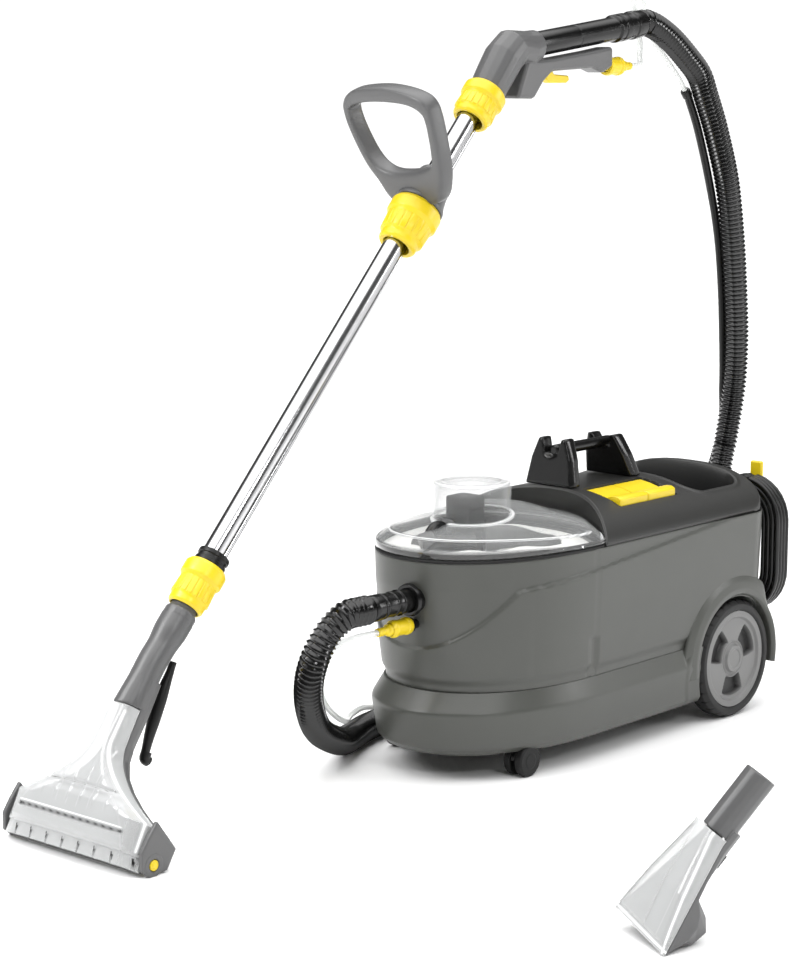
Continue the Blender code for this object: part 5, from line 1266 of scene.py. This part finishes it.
def head_lines(share, y, half):
    """The mouth's painted shade lines (slot, creases, ribs, notches, seam, folds and edges) and
    its painted highlight lines (borders and the line over the slot)."""
    slot = line(share - 0.795, 0.011) * falls(np.abs(y), 0.097, 0.099)
    slot = slot * (0.55 + 0.45 * np.sin(220 * y) ** 2)
    crease = 0.8 * line(share - 0.575, 0.004) * falls(np.abs(y), 0.058, 0.062)
    flutes = 0.35 * line(np.abs(y) % 0.020 - 0.010, 0.0006) * step(share, 0.40, 0.46)
    flutes = flutes * falls(share, 0.70, 0.74) * falls(np.abs(y), 0.040, 0.045)
    along = y / 0.0305 - np.floor(y / 0.0305)
    lean = (share - 0.925) * 1.6
    notch = step(along, 0.0, 0.05) * step(0.16 - along, lean, lean + 0.05)
    notch = notch * step(share, 0.922, 0.928) * falls(share, 0.975, 0.985)
    seam = 0.5 * line(share - 0.905, 0.0035)
    bow = np.hypot((np.abs(y) - 0.020) / 0.085, (share - 0.97) / 0.42)
    fold = 0.45 * line(bow - 1, 0.012) * step(share, 0.52, 0.60)
    border = line(half - np.abs(y) - 0.004, 0.0012) * step(share, 0.02, 0.05) * falls(share, 0.88, 0.90)
    edge = 0.6 * line(half - np.abs(y) - 0.0075, 0.0008) * step(share, 0.05, 0.1)
    edge = edge * falls(share, 0.88, 0.90)
    painted_shade_line = np.clip(slot + crease + flutes + notch + seam + fold + edge, 0, 1)
    painted_highlight_line = np.clip(border + 0.7 * line(share - 0.772, 0.004) * falls(np.abs(y), 0.095, 0.099), 0, 1)
    return painted_shade_line, painted_highlight_line * (1 - painted_shade_line)


def make_head():
    """The floor tool: clear mouth, grey back with neck and cheeks, black spray line and the
    yellow lock buttons."""
    path = smooth_line([
        wand(-0.0175), wand(-0.030), wand(-0.060), wand(-0.090), (-0.7960, WAND_Y, 0.1880),
        (-0.8020, WAND_Y, 0.1780),
    ], 60)
    run = np.linspace(0, 1, 60)
    radius = 0.0228 - 0.0026 * step(run, 0.12, 0.34) + 0.0014 * step(run, 0.6, 1.0)
    surface("neck_skin", capped(swept(path, radius, 48)), LIGHT_GREY, "wand", sharp=50)
    grid, share, y, half = HEAD.window(head_relief)
    # Painted shade lines and painted highlight lines on the clear mouth.
    painted_shade_line, painted_highlight_line = head_lines(share, y, half)
    surface("clear_mouth", grid, MOUTH_CLEAR, "mouth", ("head_window",), (False, False), wall=0.0026,
        sharp=30,
            values={"painted_shade_line": painted_shade_line, "painted_highlight_line": painted_highlight_line})
    moulded_copy("floor_tool_body", LIGHT_GREY, "wand", 0.0016, 5)
    path = smooth_line([
        (-0.7262, WAND_Y, 0.2240), (-0.7335, WAND_Y, 0.2100), (-0.7440, WAND_Y, 0.1910),
        (-0.7570, WAND_Y, 0.1650),
        (-0.7700, WAND_Y, 0.1354), (-0.7800, WAND_Y, 0.1085),
    ], 60)
    run = np.linspace(0, 1, 60)
    radius = 0.0050 + 0.0040 * step(run, 0.0, 0.45) - 0.0030 * step(run, 0.55, 1.0)
    surface("spray_line", capped(swept(path, radius, 24)), SATIN_BLACK, "wand", ("spray_nozzle_lance",))
    clip = smooth_line([(-0.7765, WAND_Y, 0.1120), (-0.7800, WAND_Y, 0.1040),
        (-0.7750, WAND_Y, 0.0990)], 12)
    surface("spray_line_clip", capped(swept(clip, 0.0075, 16)), SATIN_BLACK, "wand")
    for label, side in (("near", -1), ("far", 1)):
        place = (BUTTON[0], WAND_Y + side * (CHEEK_Y + 0.0004), BUTTON[1])
        disc = [(0, 0.0004), (0.0150, 0.0004), (0.0158, 0.0014), (0.0158, 0.0060), (0.0148, 0.0072),
            (0.0088, 0.0074)]
        disc += [(0.0080, 0.0066), (0.0076, 0.0050), (0, 0.0050)]
        surface(f"cheek_disc_{label}", turned(disc, place, (0, side, 0), 64, cut=0.0005), LIGHT_GREY,
            "wand")
        profile = [(0, 0.0085), (0.0035, 0.0083), (0.0046, 0.0074), (0.0056, 0.0085), (0.0070, 0.0072),
            (0.0070, 0.0), (0, 0.0)]
        surface(f"button_{label}", turned(profile, place, (0, side, 0), 48, cut=0.0005), YELLOW,
            f"lock_{label}", (f"lock_button_{label}",))


def make_hand_nozzle():
    """The small tool: clear trapezoid front, grey back with a round heel, pipe and clip."""
    heading, rise = math.radians(HAND_HEADING), math.radians(HAND_RISE)
    axis = np.array([math.cos(heading) * math.cos(rise), math.sin(heading) * math.cos(rise),
        math.sin(rise)])
    roll = np.array(Matrix.Rotation(math.radians(HAND_ROLL), 3, Vector(axis)))
    across = roll @ np.array([math.sin(heading), -math.cos(heading), 0])
    tool = Nozzle(HAND_LIP + axis * HAND_HEAD, HAND_LIP, across, 0.0235, HAND_WIDTH,
        (0.0235, 0.018, 0.006), (0.05, 1.0), 1.0)

    def relief(share, y, half):
        """A raised border round the flat front, a centre spine and a boss."""
        border = 0.0022 * falls(half - np.abs(y), 0.0055, 0.0075)
        spine = 0.0012 * line(y + 0.012 - 0.02 * share, 0.0012)
        spine = spine * step(share, 0.1, 0.2) * falls(share, 0.88, 0.92)
        return border + spine - 0.0016 * step(share, 0.93, 0.94)

    grid, share, y, half = tool.window(relief)
    # Painted shade lines along the raised border, the lip and the spine, and painted highlight lines
    # along the outer border and the lip.
    border = line(half - np.abs(y) - 0.0065, 0.0009) + line(share - 0.93, 0.006)
    spine = 0.5 * line(y + 0.012 - 0.02 * share, 0.0008) + 0.5 * line(y - 0.016 - 0.02 * share, 0.0008)
    painted_shade_line = 0.6 * np.clip(border + spine, 0, 1) * step(share, 0.03, 0.08)
    painted_highlight_line = np.clip(line(half - np.abs(y) - 0.003, 0.001) + line(share - 0.97, 0.008), 0, 1)
    surface("hand_mouth", grid, MOUTH_CLEAR, "hand_nozzle", ("hand_nozzle_window",), (False, False),
        wall=0.0024,
            sharp=30, values={"painted_shade_line": painted_shade_line, "painted_highlight_line": painted_highlight_line * (1 - painted_shade_line)})
    moulded_copy("hand_nozzle_body", LIGHT_GREY, "hand_nozzle", 0.0011, 8)
    moulded_copy("hand_nozzle_clip", SATIN_BLACK, "hand_nozzle", 0.0007, 3)


# --------------------------------------------------------------- inner pieces
def make_inner_pieces():
    """The tank, its fittings and the machinery keep their solids' shapes and get their finishes."""
    looks = (
        ("dirty_water_tank", TANK_CLEAR, "dirty_tank"), ("float_box", BLACK, "dirty_tank"),
        ("float_cage", BLACK, "dirty_tank"),
        ("inlet_elbow", BLACK, "dirty_tank"), ("lint_filter", WHITE, "dirty_tank"),
        ("float_ball", WHITE, "float"),
        ("vacuum_motor", SATIN_BLACK, "housing"), ("turbine_impeller", STEEL, "impeller"),
        ("spray_pump", SATIN_BLACK, "housing"),
    )
    for node, finish, body in looks:
        settle(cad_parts[node], finish, body)
    nuts = (("low", (-0.312, -0.004, 0.338), (-1, 0.6, -0.3)),
        ("high", (-0.262, 0.006, 0.349), (-1, 0.5, 0.35)))
    for label, place, axis in nuts:
        profile = [(0, -0.010), (0.0120, -0.010), (0.0125, -0.008), (0.0125, 0.008), (0.0120, 0.010),
            (0, 0.010)]
        grid = turned(profile, place, axis, 96, knurl(16, 0.0012, -0.007, 0.007), 0.0006)
        surface(f"elbow_nut_{label}", grid, LIGHT_GREY, "dirty_tank")
    arm = smooth_line([(-0.318, 0.000, 0.331), (-0.300, -0.016, 0.336), (-0.280, -0.036, 0.336),
        (-0.262, -0.052, 0.335)], 40)
    surface("elbow_arm", capped(swept(arm, 0.0095, 24, Z_AXIS)), BLACK, "dirty_tank")
    arm = smooth_line([(-0.312, -0.004, 0.338), (-0.288, 0.002, 0.352), (-0.262, 0.006, 0.350),
        (-0.238, 0.010, 0.348)], 40)
    surface("elbow_neck", capped(swept(arm, 0.0090, 24)), BLACK, "dirty_tank")
    moulded_copy("carry_handle", BLACK, "housing", 0.0014, 26)
    moulded_copy("cable_hook", YELLOW, "hook", 0.0008, 4)


def main():
    make_camera()
    fittings = make_fittings()
    make_hoses(*fittings)
    make_lead()
    make_stage()
    make_housing()
    make_cover()
    make_lid()
    make_pedals()
    make_badge()
    make_wheels()
    make_wand_tubes()
    make_loop_handle()
    make_grip()
    make_head()
    make_hand_nozzle()
    make_inner_pieces()


main()
